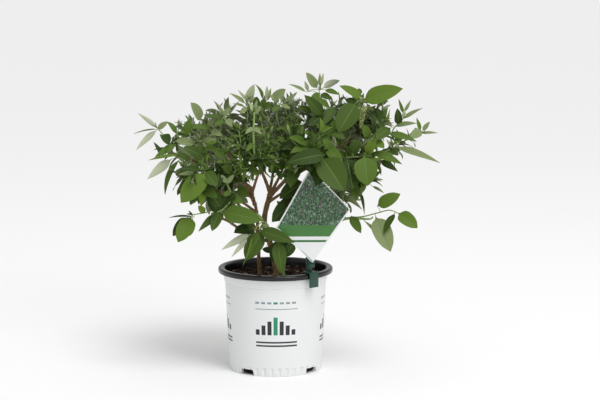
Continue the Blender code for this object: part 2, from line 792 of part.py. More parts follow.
def add_mass(name, paths, blocked, home):
    """One mass: a stem from its limb's tip, shoots that leave it, and leaves fused on in one union."""
    mass = MASSES[name]
    limb = paths[mass.limb]
    run = (limb[-1] - limb[-2]).normalized()
    start = limb[-1] + run * JOINT_GAP
    heart = Vector(mass.heart)
    reach = (heart - start).length
    leave = start + run * reach * STEM_PULL
    arrive = heart - UP * reach * STEM_RISE
    stem = interpolate_bezier(start, leave, arrive, heart, STEM_STEPS + 1)
    made = add_object(name, twig_mesh(stem, STEM_RADII, run), home)
    pieces = collection("pieces")
    shoots = list(mass_shoots(name))
    clear_of = [tree_of([made.data])]
    for i, (tip, leaf, turn, open_end) in enumerate(shoots):
        dice = random.Random(f"{name}_{i}")
        share = LAST_SHOOT + (FIRST_SHOOT - LAST_SHOOT) * i / max(len(shoots) - 1, 1)
        begin, heading = point_along(stem, share)
        path = shoot_path(begin, heading, tip)
        while len(path) > 1:
            twig = twig_mesh(path, SHOOT_RADII)
            if in_own_space(twig, name) and not blocked.overlap(tree_of([twig])):
                break
            path = path[:-1]
        if len(path) < 2:
            continue
        add_object(f"shoot_{i}", twig, pieces)
        clear_of.append(tree_of([twig]))
        for place in shoot_leaves(path, leaf, turn, open_end, dice):
            blade = try_leaf(place, clear_of, name, blocked)
            if blade:
                add_object("leaf", blade, pieces)
    apply_boolean(made, "UNION", pieces)
    keep_main_body(made.data)
    made.data.materials.clear()
    made.data.materials.append(surface("leaf"))


def main():
    """Model the plant, its pot and its label."""
    for made in list(bpy.data.objects):
        bpy.data.objects.remove(made)
    home = collection("potted_butterfly_bush")
    solids = [pot_wall(home), pot_rim(home), potting_mix(home), label_card(home), label_clip(home)]
    paths = limb_paths()
    solids += [add_limb(name, paths, home) for name in LIMBS]
    inflated = [
        tube_mesh(path, limb_radii(LIMBS[name], len(path)), 2, LIMB_CLEARANCE) for name, path in paths.items()
    ]
    blocked = tree_of([solid.data for solid in solids[:5]] + inflated)
    for name in MASSES:
        add_mass(name, paths, blocked, home)


main()
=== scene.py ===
"""A young butterfly bush in its nursery pot, dressed for a studio picture.

The white pot, its black rim, the label and the clip are modelled anew with
their print, rolls and small radii.  Stems and boughs get bark in relief.  Each
leafy mass of the plain model is grown again by the same rule, with more pairs
of leaves, side sprigs and tufts in the leaf joints, and with the sprays that
give the crown its outline set where they stand.

Lengths are in millimetres unless a note says metres.  X is to the right, Y is
away from the viewer and Z is up.
"""

import json
import logging
import math
import random
from collections.abc import Callable, Iterator, Sequence
from contextlib import contextmanager
from dataclasses import dataclass, field
from enum import Enum

import bpy
import bmesh
import numpy as np
from mathutils import Matrix, Vector, noise
from mathutils.geometry import interpolate_bezier

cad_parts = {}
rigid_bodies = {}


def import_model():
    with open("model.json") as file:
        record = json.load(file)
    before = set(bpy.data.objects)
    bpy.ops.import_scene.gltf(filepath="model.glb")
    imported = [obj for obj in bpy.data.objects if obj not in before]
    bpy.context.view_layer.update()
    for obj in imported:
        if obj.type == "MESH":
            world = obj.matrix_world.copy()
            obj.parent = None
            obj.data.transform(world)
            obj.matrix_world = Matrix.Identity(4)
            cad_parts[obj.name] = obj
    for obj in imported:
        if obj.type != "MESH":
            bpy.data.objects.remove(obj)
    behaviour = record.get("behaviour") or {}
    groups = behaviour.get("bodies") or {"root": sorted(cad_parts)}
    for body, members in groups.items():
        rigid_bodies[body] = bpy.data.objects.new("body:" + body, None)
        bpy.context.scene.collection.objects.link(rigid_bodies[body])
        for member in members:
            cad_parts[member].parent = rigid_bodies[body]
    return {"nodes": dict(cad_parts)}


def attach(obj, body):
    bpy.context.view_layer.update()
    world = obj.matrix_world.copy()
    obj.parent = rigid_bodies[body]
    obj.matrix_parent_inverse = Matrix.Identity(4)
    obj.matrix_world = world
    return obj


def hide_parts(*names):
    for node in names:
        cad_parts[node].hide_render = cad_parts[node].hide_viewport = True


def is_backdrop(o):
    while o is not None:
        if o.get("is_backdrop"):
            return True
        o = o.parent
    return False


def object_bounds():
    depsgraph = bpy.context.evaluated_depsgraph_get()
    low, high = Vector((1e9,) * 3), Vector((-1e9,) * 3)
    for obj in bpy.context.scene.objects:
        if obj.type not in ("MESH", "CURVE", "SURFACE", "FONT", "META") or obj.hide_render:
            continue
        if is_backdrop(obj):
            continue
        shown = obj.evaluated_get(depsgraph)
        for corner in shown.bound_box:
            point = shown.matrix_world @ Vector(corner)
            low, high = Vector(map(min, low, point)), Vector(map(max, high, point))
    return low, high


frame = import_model()
model_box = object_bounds()

log = logging.getLogger("butterfly_bush")

MM = 0.001
UP = Vector((0, 0, 1))
SIDEWAYS = Vector((1, 0, 0))
TO_FRONT = Vector((0, -1, 0))
GOLDEN_ANGLE = math.pi * (3 - math.sqrt(5))

# The plant's lines and spaces


Point = tuple[float, float, float]
Pair = tuple[float, float]


@dataclass(frozen=True)
class Limb:
    """A stem or bough of the plain model.

    Attributes:
        parent: The limb that it leaves, empty for a stem that stands in the mix.
        leaves_at: How far up its parent it leaves, 0 to 1.
        bends: The points that its line runs through.
        radius: Its first radius.
        tip: Its last radius.
        colour: Its kind of bark.
    """

    parent: str
    leaves_at: float
    bends: tuple[Point, ...]
    radius: float
    tip: float = 1.8
    colour: str = "old_wood"


LIMBS = {
    "main_stem": Limb("", 0, (
        (1, -20, 136.3), (1, -20, 139), (1, -20, 146), (-5, -14, 175), (-16, -2, 213), (-7, 2, 255)
    ), 4.6, 3.4),
    "left_stem": Limb("", 0, (
        (-23, -14, 136.3), (-23, -14, 139), (-23, -14, 146), (-25, -8, 185), (-27, -1, 228), (-36, 4, 260)
    ), 2.9, 2),
    "green_stem": Limb("", 0, (
        (11, -22, 136.3), (11, -22, 139), (11, -22, 146), (14, -20, 175), (25, -14, 204)
    ), 2.6, 2, "young_wood"),
    "bough_top_left": Limb("main_stem", 0.99, ((-17, 0, 280), (-28, 5, 303)), 2.6),
    "bough_top_right": Limb("main_stem", 0.95, ((17, 0, 276), (35, 2, 298), (49, 6, 316)), 3),
    "bough_top_centre": Limb("main_stem", 0.97, ((8, 4, 282), (13, 6, 298)), 2.2),
    "bough_right": Limb("bough_top_right", 0.4, ((54, -6, 296), (96, -10, 324)), 2.2),
    "bough_far_right": Limb("bough_right", 0.55, ((94, -12, 300), (136, -9, 308)), 2),
    "bough_right_front": Limb("main_stem", 0.88, ((24, -24, 266), (58, -36, 280)), 2.2),
    "bough_front_right": Limb("bough_right_front", 0.4, ((20, -32, 284), (32, -44, 298)), 2),
    "bough_back": Limb("main_stem", 0.86, ((-4, 36, 274), (0, 66, 300)), 2.2),
    "bough_back_right": Limb("main_stem", 0.92, ((24, 34, 280), (52, 58, 296)), 2.2),
    "bough_left": Limb("left_stem", 0.99, ((-54, 6, 284), (-78, 12, 308)), 2),
    "bough_left_middle": Limb("left_stem", 0.96, ((-43, -8, 268), (-51, -14, 276)), 2),
    "bough_far_left": Limb("left_stem", 0.88, ((-70, -8, 276), (-116, -20, 304)), 2),
    "bough_left_front": Limb("left_stem", 0.72, ((-52, -24, 248), (-80, -44, 264)), 2),
    "bough_front": Limb("left_stem", 0.94, ((-27, -18, 277), (-20, -38, 298)), 2, colour="red_wood"),
    "bough_back_left": Limb("left_stem", 0.82, ((-50, 36, 272), (-64, 62, 296)), 2),
    "bough_low_left": Limb("main_stem", 0.42, ((-38, -24, 198), (-66, -42, 220)), 2.2),
    "bough_low_front": Limb("main_stem", 0.5, ((-12, -30, 206), (-18, -42, 214)), 2.1, colour="young_wood"),
    "bough_low_back_left": Limb("left_stem", 0.5, ((-42, 24, 220), (-56, 46, 234)), 2),
    "bough_low_right": Limb("green_stem", 0.7, ((60, -24, 208), (100, -32, 222)), 2.1, colour="young_wood"),
    "bough_low_back_right": Limb(
        "green_stem", 0.85, ((44, 20, 222), (62, 44, 234)), 2.1, colour="young_wood"
    ),
}

# Colours and finishes


Object = bpy.types.Object
Material = bpy.types.Material
Node = bpy.types.Node
Socket = bpy.types.NodeSocket


def paint(code: str) -> tuple[float, float, float, float]:
    """Turn a colour given as #rrggbb in sRGB into linear light with full opacity."""
    channels = [int(code[i : i + 2], 16) / 255 for i in (1, 3, 5)]
    # The curve of sRGB: a straight foot, then a power.
    linear = [part / 12.92 if part <= 0.04045 else ((part + 0.055) / 1.055) ** 2.4 for part in channels]
    return *linear, 1.0


def add_node(
    material: Material,
    kind: str,
    settings: dict[str, object] | None = None,
    values: dict[str, object] | None = None,
    links: dict[str, Socket] | None = None,
) -> Node:
    """Add a shader node.

    Args:
        material: The material that gets the node.
        kind: The node's type.
        settings: Its settings by name.
        values: Its inputs' own values by name.
        links: What feeds its inputs, by the input's name.

    Returns:
        The new node.
    """
    tree = material.node_tree
    node = tree.nodes.new(kind)
    for name, value in (settings or {}).items():
        setattr(node, name, value)
    for name, value in (values or {}).items():
        node.inputs[name].default_value = value
    for name, socket in (links or {}).items():
        tree.links.new(socket, node.inputs[name])
    return node


def ramp(
    material: Material, source: Socket, stops: Sequence[tuple[float, str]], hard: bool = False
) -> Socket:
    """Add a colour ramp.

    Args:
        material: The material that gets it.
        source: The value that it reads.
        stops: Places and hex colours.
        hard: Whether the colours change in steps.

    Returns:
        The ramp's colour.
    """
    node = add_node(material, "ShaderNodeValToRGB", links={"Fac": source})
    band = node.color_ramp
    band.interpolation = "CONSTANT" if hard else "LINEAR"
    for i, (place, code) in enumerate(stops):
        stop = band.elements[i] if i < 2 else band.elements.new(place)
        stop.position = place
        stop.color = paint(code)
    return node.outputs["Color"]


@dataclass(frozen=True)
class Finish:
    """A plain finish of one colour.

    Attributes:
        name: What the real finish is.
        colour: Its colour as #rrggbb.
        roughness: 0 is a mirror and 1 is matt.
        specular: How much light the bare surface throws back.
    """

    name: str
    colour: str
    roughness: float
    specular: float = 0.5

    def shader(self, material: Material) -> Node:
        """Set the material's main shader and return it."""
        shader = material.node_tree.nodes["Principled BSDF"]
        shader.inputs["Base Color"].default_value = paint(self.colour)
        shader.inputs["Roughness"].default_value = self.roughness
        shader.inputs["Specular IOR Level"].default_value = self.specular
        return shader

    def pattern(self, material: Material, shader: Node) -> None:
        """Add what varies over the surface: nothing on a plain finish."""

    def material(self) -> Material:
        """Make the material on first use."""
        made = bpy.data.materials.get(self.name)
        if made is None:
            made = bpy.data.materials.new(self.name)
            made.use_nodes = True
            made.diffuse_color = paint(self.colour)
            self.pattern(made, self.shader(made))
        return made


def bump(material: Material, shader: Node, height: Socket, depth: float) -> None:
    """Feed a height to a shader as fine relief.

    Args:
        material: The material.
        shader: Its main shader.
        height: The height, 0 to 1.
        depth: The relief's depth.
    """
    values = {"Strength": 1.0, "Distance": depth * MM}
    node = add_node(material, "ShaderNodeBump", values=values, links={"Height": height})
    material.node_tree.links.new(node.outputs["Normal"], shader.inputs["Normal"])


def object_place(
    material: Material, size: float, stretch: Sequence[float] = (1, 1, 1), turn: float = 0.0
) -> Socket:
    """Add the object's own coordinates, scaled for a pattern.

    Args:
        material: The material that gets them.
        size: The length that becomes 1.
        stretch: How much longer that length is along each axis.
        turn: Their turn about Y in radians.

    Returns:
        The coordinates.
    """
    place = add_node(material, "ShaderNodeTexCoord").outputs["Object"]
    values = {"Scale": [1 / (size * MM * part) for part in stretch], "Rotation": (0, turn, 0)}
    return add_node(material, "ShaderNodeMapping", values=values, links={"Vector": place}).outputs["Vector"]


def noise_value(material: Material, place: Socket, detail: float = 3.0) -> Socket:
    """Add noise.

    Args:
        material: The material that gets it.
        place: The coordinates.
        detail: The number of finer layers.

    Returns:
        The noise's value, 0 to 1.
    """
    values = {"Scale": 1.0, "Detail": detail}
    return add_node(material, "ShaderNodeTexNoise", values=values, links={"Vector": place}).outputs["Fac"]


@dataclass(frozen=True)
class MouldedFinish(Finish):
    """Moulded plastic with a faint, soft unevenness.

    Attributes:
        ripple: The size of the unevenness.
        depth: Its depth.
    """

    ripple: float = 4.0
    depth: float = 0.02

    def pattern(self, material: Material, shader: Node) -> None:
        """Add the unevenness as relief."""
        bump(material, shader, noise_value(material, object_place(material, self.ripple)), self.depth)


@dataclass(frozen=True)
class MottledFinish(Finish):
    """Bark or potting mix, mottled and rough, darker in its hollows as painted shade and lighter on its high
    places as painted light.

    Attributes:
        shadow: The colour of its hollows, painted shade.
        light: The colour of its high places, painted light.
        grain: The size of its grain.
        stretch: How much longer the grain is upwards.
        relief: The depth of its relief.
        shares: The grain's values where shadow, colour, colour again and light stand.
    """

    shadow: str = "#0f0a07"
    light: str = "#4a3323"
    grain: float = 1.6
    stretch: float = 7.0
    relief: float = 0.35
    shares: tuple[float, ...] = (0.3, 0.47, 0.6, 0.74)

    def pattern(self, material: Material, shader: Node) -> None:
        """Mottle the colour and the relief from one grain, which paints shade in the hollows and light on the
        high places.
        """
        grain = noise_value(material, object_place(material, self.grain, (1, 1, self.stretch)), 4.0)
        # The grain's low values are painted shade and its high ones painted light.
        stops = tuple(zip(self.shares, (self.shadow, self.colour, self.colour, self.light)))
        material.node_tree.links.new(ramp(material, grain, stops), shader.inputs["Base Color"])
        bump(material, shader, grain, self.relief)


@dataclass(frozen=True)
class HedgePrint(Finish):
    """The label's picture: a plain all-over print of leaves with violet dots.

    Attributes:
        leaf: The size of a printed leaf.
        stretch: How much longer it is upwards.
        lean: Its lean in radians.
        stops: The places and colours of the print's inks.
    """

    leaf: float = 1.35
    stretch: float = 1.8
    lean: float = 0.5
    stops: tuple[tuple[float, str], ...] = (
        (0.0, "#24402a"), (0.22, "#3f6340"), (0.42, "#5f8566"), (0.58, "#314c33"),
        (0.74, "#86a38a"), (0.82, "#6a4660"), (0.9, "#4a6f42"),
    )

    def pattern(self, material: Material, shader: Node) -> None:
        """Deal greens and violet over small cells."""
        place = object_place(material, self.leaf, (1, 1, self.stretch), self.lean)
        cells = add_node(material, "ShaderNodeTexVoronoi", values={"Scale": 1.0}, links={"Vector": place})
        split = add_node(material, "ShaderNodeSeparateColor", links={"Color": cells.outputs["Color"]})
        colour = ramp(material, split.outputs["Red"], self.stops, hard=True)
        material.node_tree.links.new(colour, shader.inputs["Base Color"])


# White polypropylene of the pot, smooth and a little glossy.
POT_WHITE = MouldedFinish("white pot plastic", "#e6e8e8", 0.36, ripple=6.0, depth=0.03)
# Charcoal ink of the pot's print.
PRINT_CHARCOAL = Finish("charcoal pot print", "#23282b", 0.4)
# Green ink of the pot's print.
PRINT_GREEN = Finish("green pot print", "#1f8a66", 0.4)
# Grey ink of the pot's fine lines.
PRINT_GREY = Finish("grey pot print", "#8d9799", 0.4)
# Glossy black plastic of the rolled rim and the lining, also dealt deep in the wall's notches as painted
# shade.
RIM_BLACK = MouldedFinish("black rim plastic", "#0d0d0f", 0.2, 0.45, ripple=5.0, depth=0.03)
# Damp, dark peat between the bark chips.
MIX_DARK = MottledFinish(
    "dark potting mix", "#241810", 0.95, 0.2, grain=2.2, stretch=1.0, relief=1.2
)
# Bark chips and the odd pale wood chip and clay crumb in the mix.
CHIPS = (
    Finish("dark bark chip", "#20150e", 0.85, 0.3),
    Finish("brown bark chip", "#3c2718", 0.85, 0.3),
    Finish("reddish bark chip", "#5d3825", 0.8, 0.3),
    Finish("pale wood chip", "#8a7c6a", 0.8, 0.3),
)
# White plastic card of the label.
CARD_WHITE = Finish("white label card", "#ecedee", 0.38)
# The printed picture on the label.
CARD_PICTURE = HedgePrint("printed hedge on the label", "#5f8060", 0.4)
# The green printed band of the label.
CARD_GREEN = Finish("green band of the label", "#437b38", 0.4)
# The darker green printed line under the band.
CARD_DEEP_GREEN = Finish("deep green line of the label", "#2f6f35", 0.4)
# Dark green plastic of the clip.
CLIP_GREEN = MouldedFinish("dark green clip plastic", "#1a4435", 0.4, ripple=3.0, depth=0.02)
# Brown, peeling bark of stems and older boughs.
OLD_BARK = MottledFinish(
    "brown peeling bark", "#83694a", 0.85, 0.2, shadow="#4c3a27", light="#b9a27c"
)
# Reddish bark of second-year twigs.
RED_BARK = MottledFinish(
    "reddish twig bark", "#8b6044", 0.75, 0.25, shadow="#5c3a28", light="#b5835c", grain=1.2
)
# Soft green skin of this year's shoots, thinly felted.
YOUNG_BARK = MottledFinish(
    "green young shoot", "#8ba262", 0.65, 0.3, shadow="#6c8448", light="#adbb86", grain=1.2
)
# Felted green buds, the younger ones paler.
BUDS = (
    Finish("green flower bud", "#7f8e4c", 0.8, 0.2),
    Finish("pale felted bud", "#a3ad7c", 0.85, 0.2),
)

# Modelling


Test = Callable[[Vector], bool]
# The points of a turned shape's outline, as (radius, height).
Profile = list[Pair]


def activate(*made: Object) -> None:
    """Make these the only selected objects, and the first of them the active one."""
    bpy.ops.object.select_all(action="DESELECT")
    for piece in made:
        piece.select_set(True)
    bpy.context.view_layer.objects.active = made[0]


@contextmanager
def editing() -> Iterator[None]:
    """Work in edit mode on the active object for a while."""
    bpy.ops.object.mode_set(mode="EDIT")
    yield
    bpy.ops.object.mode_set(mode="OBJECT")


def modify(made: Object, kind: str, **settings: object) -> None:
    """Add a modifier of this kind to an object, set it and apply it."""
    activate(made)
    modifier = made.modifiers.new(kind.capitalize(), kind)
    for name, value in settings.items():
        setattr(modifier, name, value)
    bpy.ops.object.modifier_apply(modifier=modifier.name)


def pick(made: Object, test: Test, faces: bool = False) -> None:
    """Select the points or the faces of a mesh by their places.

    Args:
        made: The object, in edit mode.
        test: Says of a point, or of a face's middle, in metres whether it is wanted.
        faces: Whether faces are picked and not points.
    """
    bpy.ops.mesh.select_all(action="DESELECT")
    bpy.ops.mesh.select_mode(type="FACE" if faces else "VERT")
    shape = bmesh.from_edit_mesh(made.data)
    for item in shape.faces if faces else shape.verts:
        item.select_set(test(item.calc_center_median() if faces else item.co))
    shape.select_flush_mode()
    bmesh.update_edit_mesh(made.data)


def settle(made: Object, name: str, smooth: float = 35.0) -> Object:
    """Name an object, put its place into its mesh and smooth its shallow edges.

    Args:
        made: The object, in object mode.
        name: Its name.
        smooth: Edges shallower than this many degrees are smoothed.

    Returns:
        The same object.
    """
    activate(made)
    bpy.ops.object.transform_apply(location=True, rotation=True, scale=True)
    made.name = name
    made.data.name = name
    if smooth:
        bpy.ops.object.shade_smooth_by_angle(angle=math.radians(smooth))
    return made


def lathe(name: str, profile: Profile, segments: int, ring: bool = False) -> Object:
    """Turn a profile by drawing a circle out from ring to ring.

    Args:
        name: The object's name.
        profile: The profile's points in order.
        segments: The number of points round a ring.
        ring: Whether the profile ends where it starts. The ends are filled if not.

    Returns:
        The turned object.
    """
    radius, height = profile[0]
    place = (0, 0, height * MM)
    bpy.ops.mesh.primitive_circle_add(vertices=segments, radius=radius * MM, location=place)
    with editing():
        bpy.ops.mesh.select_mode(type="VERT")
        bpy.ops.mesh.select_all(action="SELECT")
        for (radius, height), (next_radius, next_height) in zip(profile, profile[1:]):
            rise = {"value": (0, 0, (next_height - height) * MM)}
            bpy.ops.mesh.extrude_region_move(TRANSFORM_OT_translate=rise)
            growth = next_radius / radius
            bpy.ops.transform.resize(value=(growth, growth, 1), center_override=(0, 0, next_height * MM))
        bpy.ops.mesh.select_all(action="SELECT")
        if ring:
            bpy.ops.mesh.remove_doubles(threshold=0.02 * MM)
        else:
            bpy.ops.mesh.fill_holes(sides=0)
        bpy.ops.mesh.normals_make_consistent(inside=False)
    return settle(bpy.context.object, name)


def box(name: str, size: Sequence[float], place: Sequence[float], turn: float) -> Object:
    """Model a box.

    Args:
        name: The object's name.
        size: Its sides.
        place: Its middle.
        turn: Its turn about the upright in radians.

    Returns:
        The box.
    """
    place, size = ([part * MM for part in parts] for parts in (place, size))
    bpy.ops.mesh.primitive_cube_add(size=1, location=place, rotation=(0, 0, turn), scale=size)
    return settle(bpy.context.object, name, 0)


def bearing(angle: float, radius: float, height: float = 0.0) -> Vector:
    """Find a point round the pot.

    Args:
        angle: Its bearing in radians, from the front towards the right.
        radius: Its distance from the upright.
        height: Its height.

    Returns:
        The point.
    """
    return Vector((radius * math.sin(angle), -radius * math.cos(angle), height))


def dress(made: Object, finishes: Sequence[Finish]) -> None:
    """Give an object its finishes in slot order."""
    made.data.materials.clear()
    for finish in finishes:
        made.data.materials.append(finish.material())


def deal_faces(made: Object, slot: int, test: Test) -> None:
    """Give the faces that pass a test the finish of a slot.

    Args:
        made: The object, in object mode.
        slot: The slot's number.
        test: Says of a face's middle, in metres, whether it is wanted.
    """
    activate(made)
    with editing():
        pick(made, test, faces=True)
        made.active_material_index = slot
        bpy.ops.object.material_slot_assign()


def hand_over(piece: Object, slot: str, nodes: Sequence[str] = ()) -> None:
    """Tie a finished piece to the part, and report it.

    Args:
        piece: The piece.
        slot: The part's finish that it stands for; not used.
        nodes: The plain model's pieces that it takes the place of.
    """
    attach(piece, "root")
    if nodes:
        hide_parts(*nodes)
    number = len(piece.data.polygons)
    log.info("%s: %d faces, in place of %s", piece.name, number, ", ".join(nodes) or "nothing")


# Meshes from arrays


FaceRows = Sequence[tuple[np.ndarray, np.ndarray]]


def array_object(
    name: str, points: np.ndarray, rows: FaceRows, finishes: Sequence[Finish], smooth: float = 0.0
) -> Object:
    """Make one object of many small shapes from arrays.

    Args:
        name: The object's name.
        points: The points.
        rows: Arrays of faces, each of one number of corners, with their slots.
        finishes: The finishes in slot order.
        smooth: Edges shallower than this many degrees are smoothed, none if 0.

    Returns:
        The object.
    """
    mesh = bpy.data.meshes.new(name)
    corners = np.concatenate([faces.reshape(-1) for faces, _ in rows]).astype(np.int32)
    sizes = np.concatenate([np.full(len(faces), faces.shape[1]) for faces, _ in rows])
    starts = np.concatenate([[0], np.cumsum(sizes)[:-1]]).astype(np.int32)
    mesh.vertices.add(len(points))
    mesh.vertices.foreach_set("co", (points * MM).astype(np.float32).reshape(-1))
    mesh.loops.add(len(corners))
    mesh.loops.foreach_set("vertex_index", corners)
    mesh.polygons.add(len(starts))
    mesh.polygons.foreach_set("loop_start", starts)
    mesh.update(calc_edges=True)
    made = bpy.data.objects.new(name, mesh)
    bpy.context.scene.collection.objects.link(made)
    dress(made, finishes)
    dealt = np.concatenate([slots for _, slots in rows]).astype(np.int32)
    mesh.polygons.foreach_set("material_index", dealt)
    if smooth:
        mesh.shade_smooth()
        mesh.set_sharp_from_angle(angle=math.radians(smooth))
    return made


@dataclass
class Tubes:
    """Stems and twigs gathered for one joined mesh."""

    end_bulge: float = 0.5
    points: list[Vector] = field(default_factory=list)
    quads: list[tuple[int, ...]] = field(default_factory=list)
    ends: list[tuple[int, ...]] = field(default_factory=list)

    def sweep(
        self,
        path: Sequence[Vector],
        radii: Sequence[float],
        sides: int,
        relief: Callable[[Vector, float], float] = lambda place, turn: 1.0,
    ) -> None:
        """Add a round tube with closed, rounded ends.

        Args:
            path: The tube's middle line.
            radii: Its radius at each point of the line.
            sides: The number of points round it.
            relief: Gives a point's share of the radius from its place and its turn.
        """
        first = len(self.points)
        ways = [after - before for before, after in zip([path[0], *path[:-1]], [*path[1:], path[-1]])]
        facing = ways[0].to_track_quat("Z", "Y")
        for place, way, radius in zip(path, ways, radii):
            facing = (facing @ UP).rotation_difference(way) @ facing
            for i in range(sides):
                angle = math.tau * i / sides
                out = facing @ Vector((math.cos(angle), math.sin(angle), 0))
                self.points.append(place + out * radius * relief(place + out * radius, angle))
        for ring in range(len(path) - 1):
            low = first + ring * sides
            for i in range(sides):
                j = (i + 1) % sides
                self.quads.append((low + i, low + j, low + sides + j, low + sides + i))
        last = first + (len(path) - 1) * sides
        bottom, top = len(self.points), len(self.points) + 1
        self.points.append(path[0] - ways[0].normalized() * radii[0] * self.end_bulge)
        self.points.append(path[-1] + ways[-1].normalized() * radii[-1] * self.end_bulge)
        for i in range(sides):
            j = (i + 1) % sides
            self.ends.append((first + j, first + i, bottom))
            self.ends.append((last + i, last + j, top))

    def object(self, name: str, finish: Finish) -> Object:
        """Make the joined object of this name, in one finish."""
        points = np.array([tuple(point) for point in self.points])
        quads, ends = np.array(self.quads), np.array(self.ends)
        rows = [(quads, np.zeros(len(quads), int)), (ends, np.zeros(len(ends), int))]
        return array_object(name, points, rows, (finish,), 50)


# Stems and boughs


def smooth_path(points: Sequence[Vector], steps: int) -> list[Vector]:
    """Draw a smooth line through points, in this number of steps between each two."""
    path = [points[0].copy()]
    for i in range(len(points) - 1):
        before = points[max(i - 1, 0)]
        after = points[min(i + 2, len(points) - 1)]
        here, there = points[i], points[i + 1]
        leave = here + (there - before) / 6
        arrive = there - (after - here) / 6
        path += interpolate_bezier(here, leave, arrive, there, steps + 1)[1:]
    return path


def path_length(path: Sequence[Vector]) -> float:
    """Measure a path in its own unit."""
    return sum((b - a).length for a, b in zip(path, path[1:]))


def point_along(path: Sequence[Vector], share: float) -> tuple[Vector, Vector]:
    """Find the place at a share, 0 to 1, of a path's length, and the path's direction there."""
    lengths = [(b - a).length for a, b in zip(path, path[1:])]
    target = share * sum(lengths)
    for start, end, length in zip(path, path[1:], lengths):
        if target <= length or end is path[-1]:
            return start.lerp(end, min(target / length, 1)), (end - start).normalized()
        target -= length
    raise ValueError("a path needs two points")


def across(way: Vector, along: Vector) -> Vector:
    """Turn a direction square to another one, at length 1."""
    return (way - along * along.dot(way)).normalized()


@dataclass
class Wood:
    """Stems and boughs with bark in relief, on the plain model's own lines.

    Attributes:
        coarse: Each limb's line as the plain model draws it.
        fine: The same lines in short steps.
    """

    bend_steps: int = 2
    fine_steps: int = 9
    sides: int = 18
    foot_swell: float = 0.5
    foot_sink: float = 1.5
    ridge: float = 0.035
    ridges: int = 6
    ridge_wander: float = 5.0
    ridge_grain: Point = (0.9, 0.9, 0.12)
    lump: float = 0.1
    lump_grain: float = 0.45
    node_gap: float = 17.0
    node_share: float = 0.2
    node_swell: float = 0.16
    fork_swell: float = 0.5
    fork_reach: float = 4.0
    coarse: dict[str, list[Vector]] = field(default_factory=dict)
    fine: dict[str, list[Vector]] = field(default_factory=dict)

    def trace(self) -> None:
        """Draw every limb's line, each from its parent's."""
        for name, limb in LIMBS.items():
            bends = [Vector(bend) for bend in limb.bends]
            if limb.parent:
                bends.insert(0, point_along(self.coarse[limb.parent], limb.leaves_at)[0])
            self.coarse[name] = smooth_path(bends, self.bend_steps)
            self.fine[name] = smooth_path(bends, self.fine_steps)

    def radii(self, name: str) -> list[float]:
        """List a limb's radii along its fine line, swollen at its foot or fork and at its leaf joints."""
        limb, path = LIMBS[name], self.fine[name]
        swell = self.fork_swell if limb.parent else self.foot_swell
        total = path_length(path)
        gone = 0.0
        radii = []
        for i, point in enumerate(path):
            gone += (point - path[i - 1]).length if i else 0.0
            radius = limb.radius + (limb.tip - limb.radius) * gone / total
            joint = abs((gone / self.node_gap) % 1 - 0.5) * 2
            radius *= 1 + self.node_swell * max(0.0, joint - (1 - self.node_share)) / self.node_share
            radii.append(radius * (1 + swell * math.exp(-gone / self.fork_reach)))
        return radii

    def bark(self, place: Vector, angle: float) -> float:
        """Give the bark's relief at a place and a turn round the stem, as a share of the radius near 1."""
        wander = noise.noise(place * Vector(self.ridge_grain)) * self.ridge_wander
        ridges = math.sin(angle * self.ridges + wander)
        return 1 + self.ridge * ridges + self.lump * noise.noise(place * self.lump_grain)

    def build(self) -> None:
        """Model the limbs, one joined piece to each kind of bark, and hand them over."""
        self.trace()
        for colour, finish in (("old_wood", OLD_BARK), ("red_wood", RED_BARK), ("young_wood", YOUNG_BARK)):
            names = [name for name, limb in LIMBS.items() if limb.colour == colour]
            tubes = Tubes()
            for name in names:
                path, radii = self.fine[name], self.radii(name)
                if not LIMBS[name].parent:
                    path, radii = [path[0] - UP * self.foot_sink, *path], [radii[0], *radii]
                tubes.sweep(path, radii, self.sides, self.bark)
            hand_over(tubes.object(f"{colour}_bark", finish), colour, names)


# Pot


# A printed band, as its low and high edges and its slot.
Band = tuple[float, float, int]
# The wall's finishes by slot, as PotWall.build gives them.
BARE, CHARCOAL, GREEN, GREY, LINING_AND_NOTCH_SHADE = range(5)


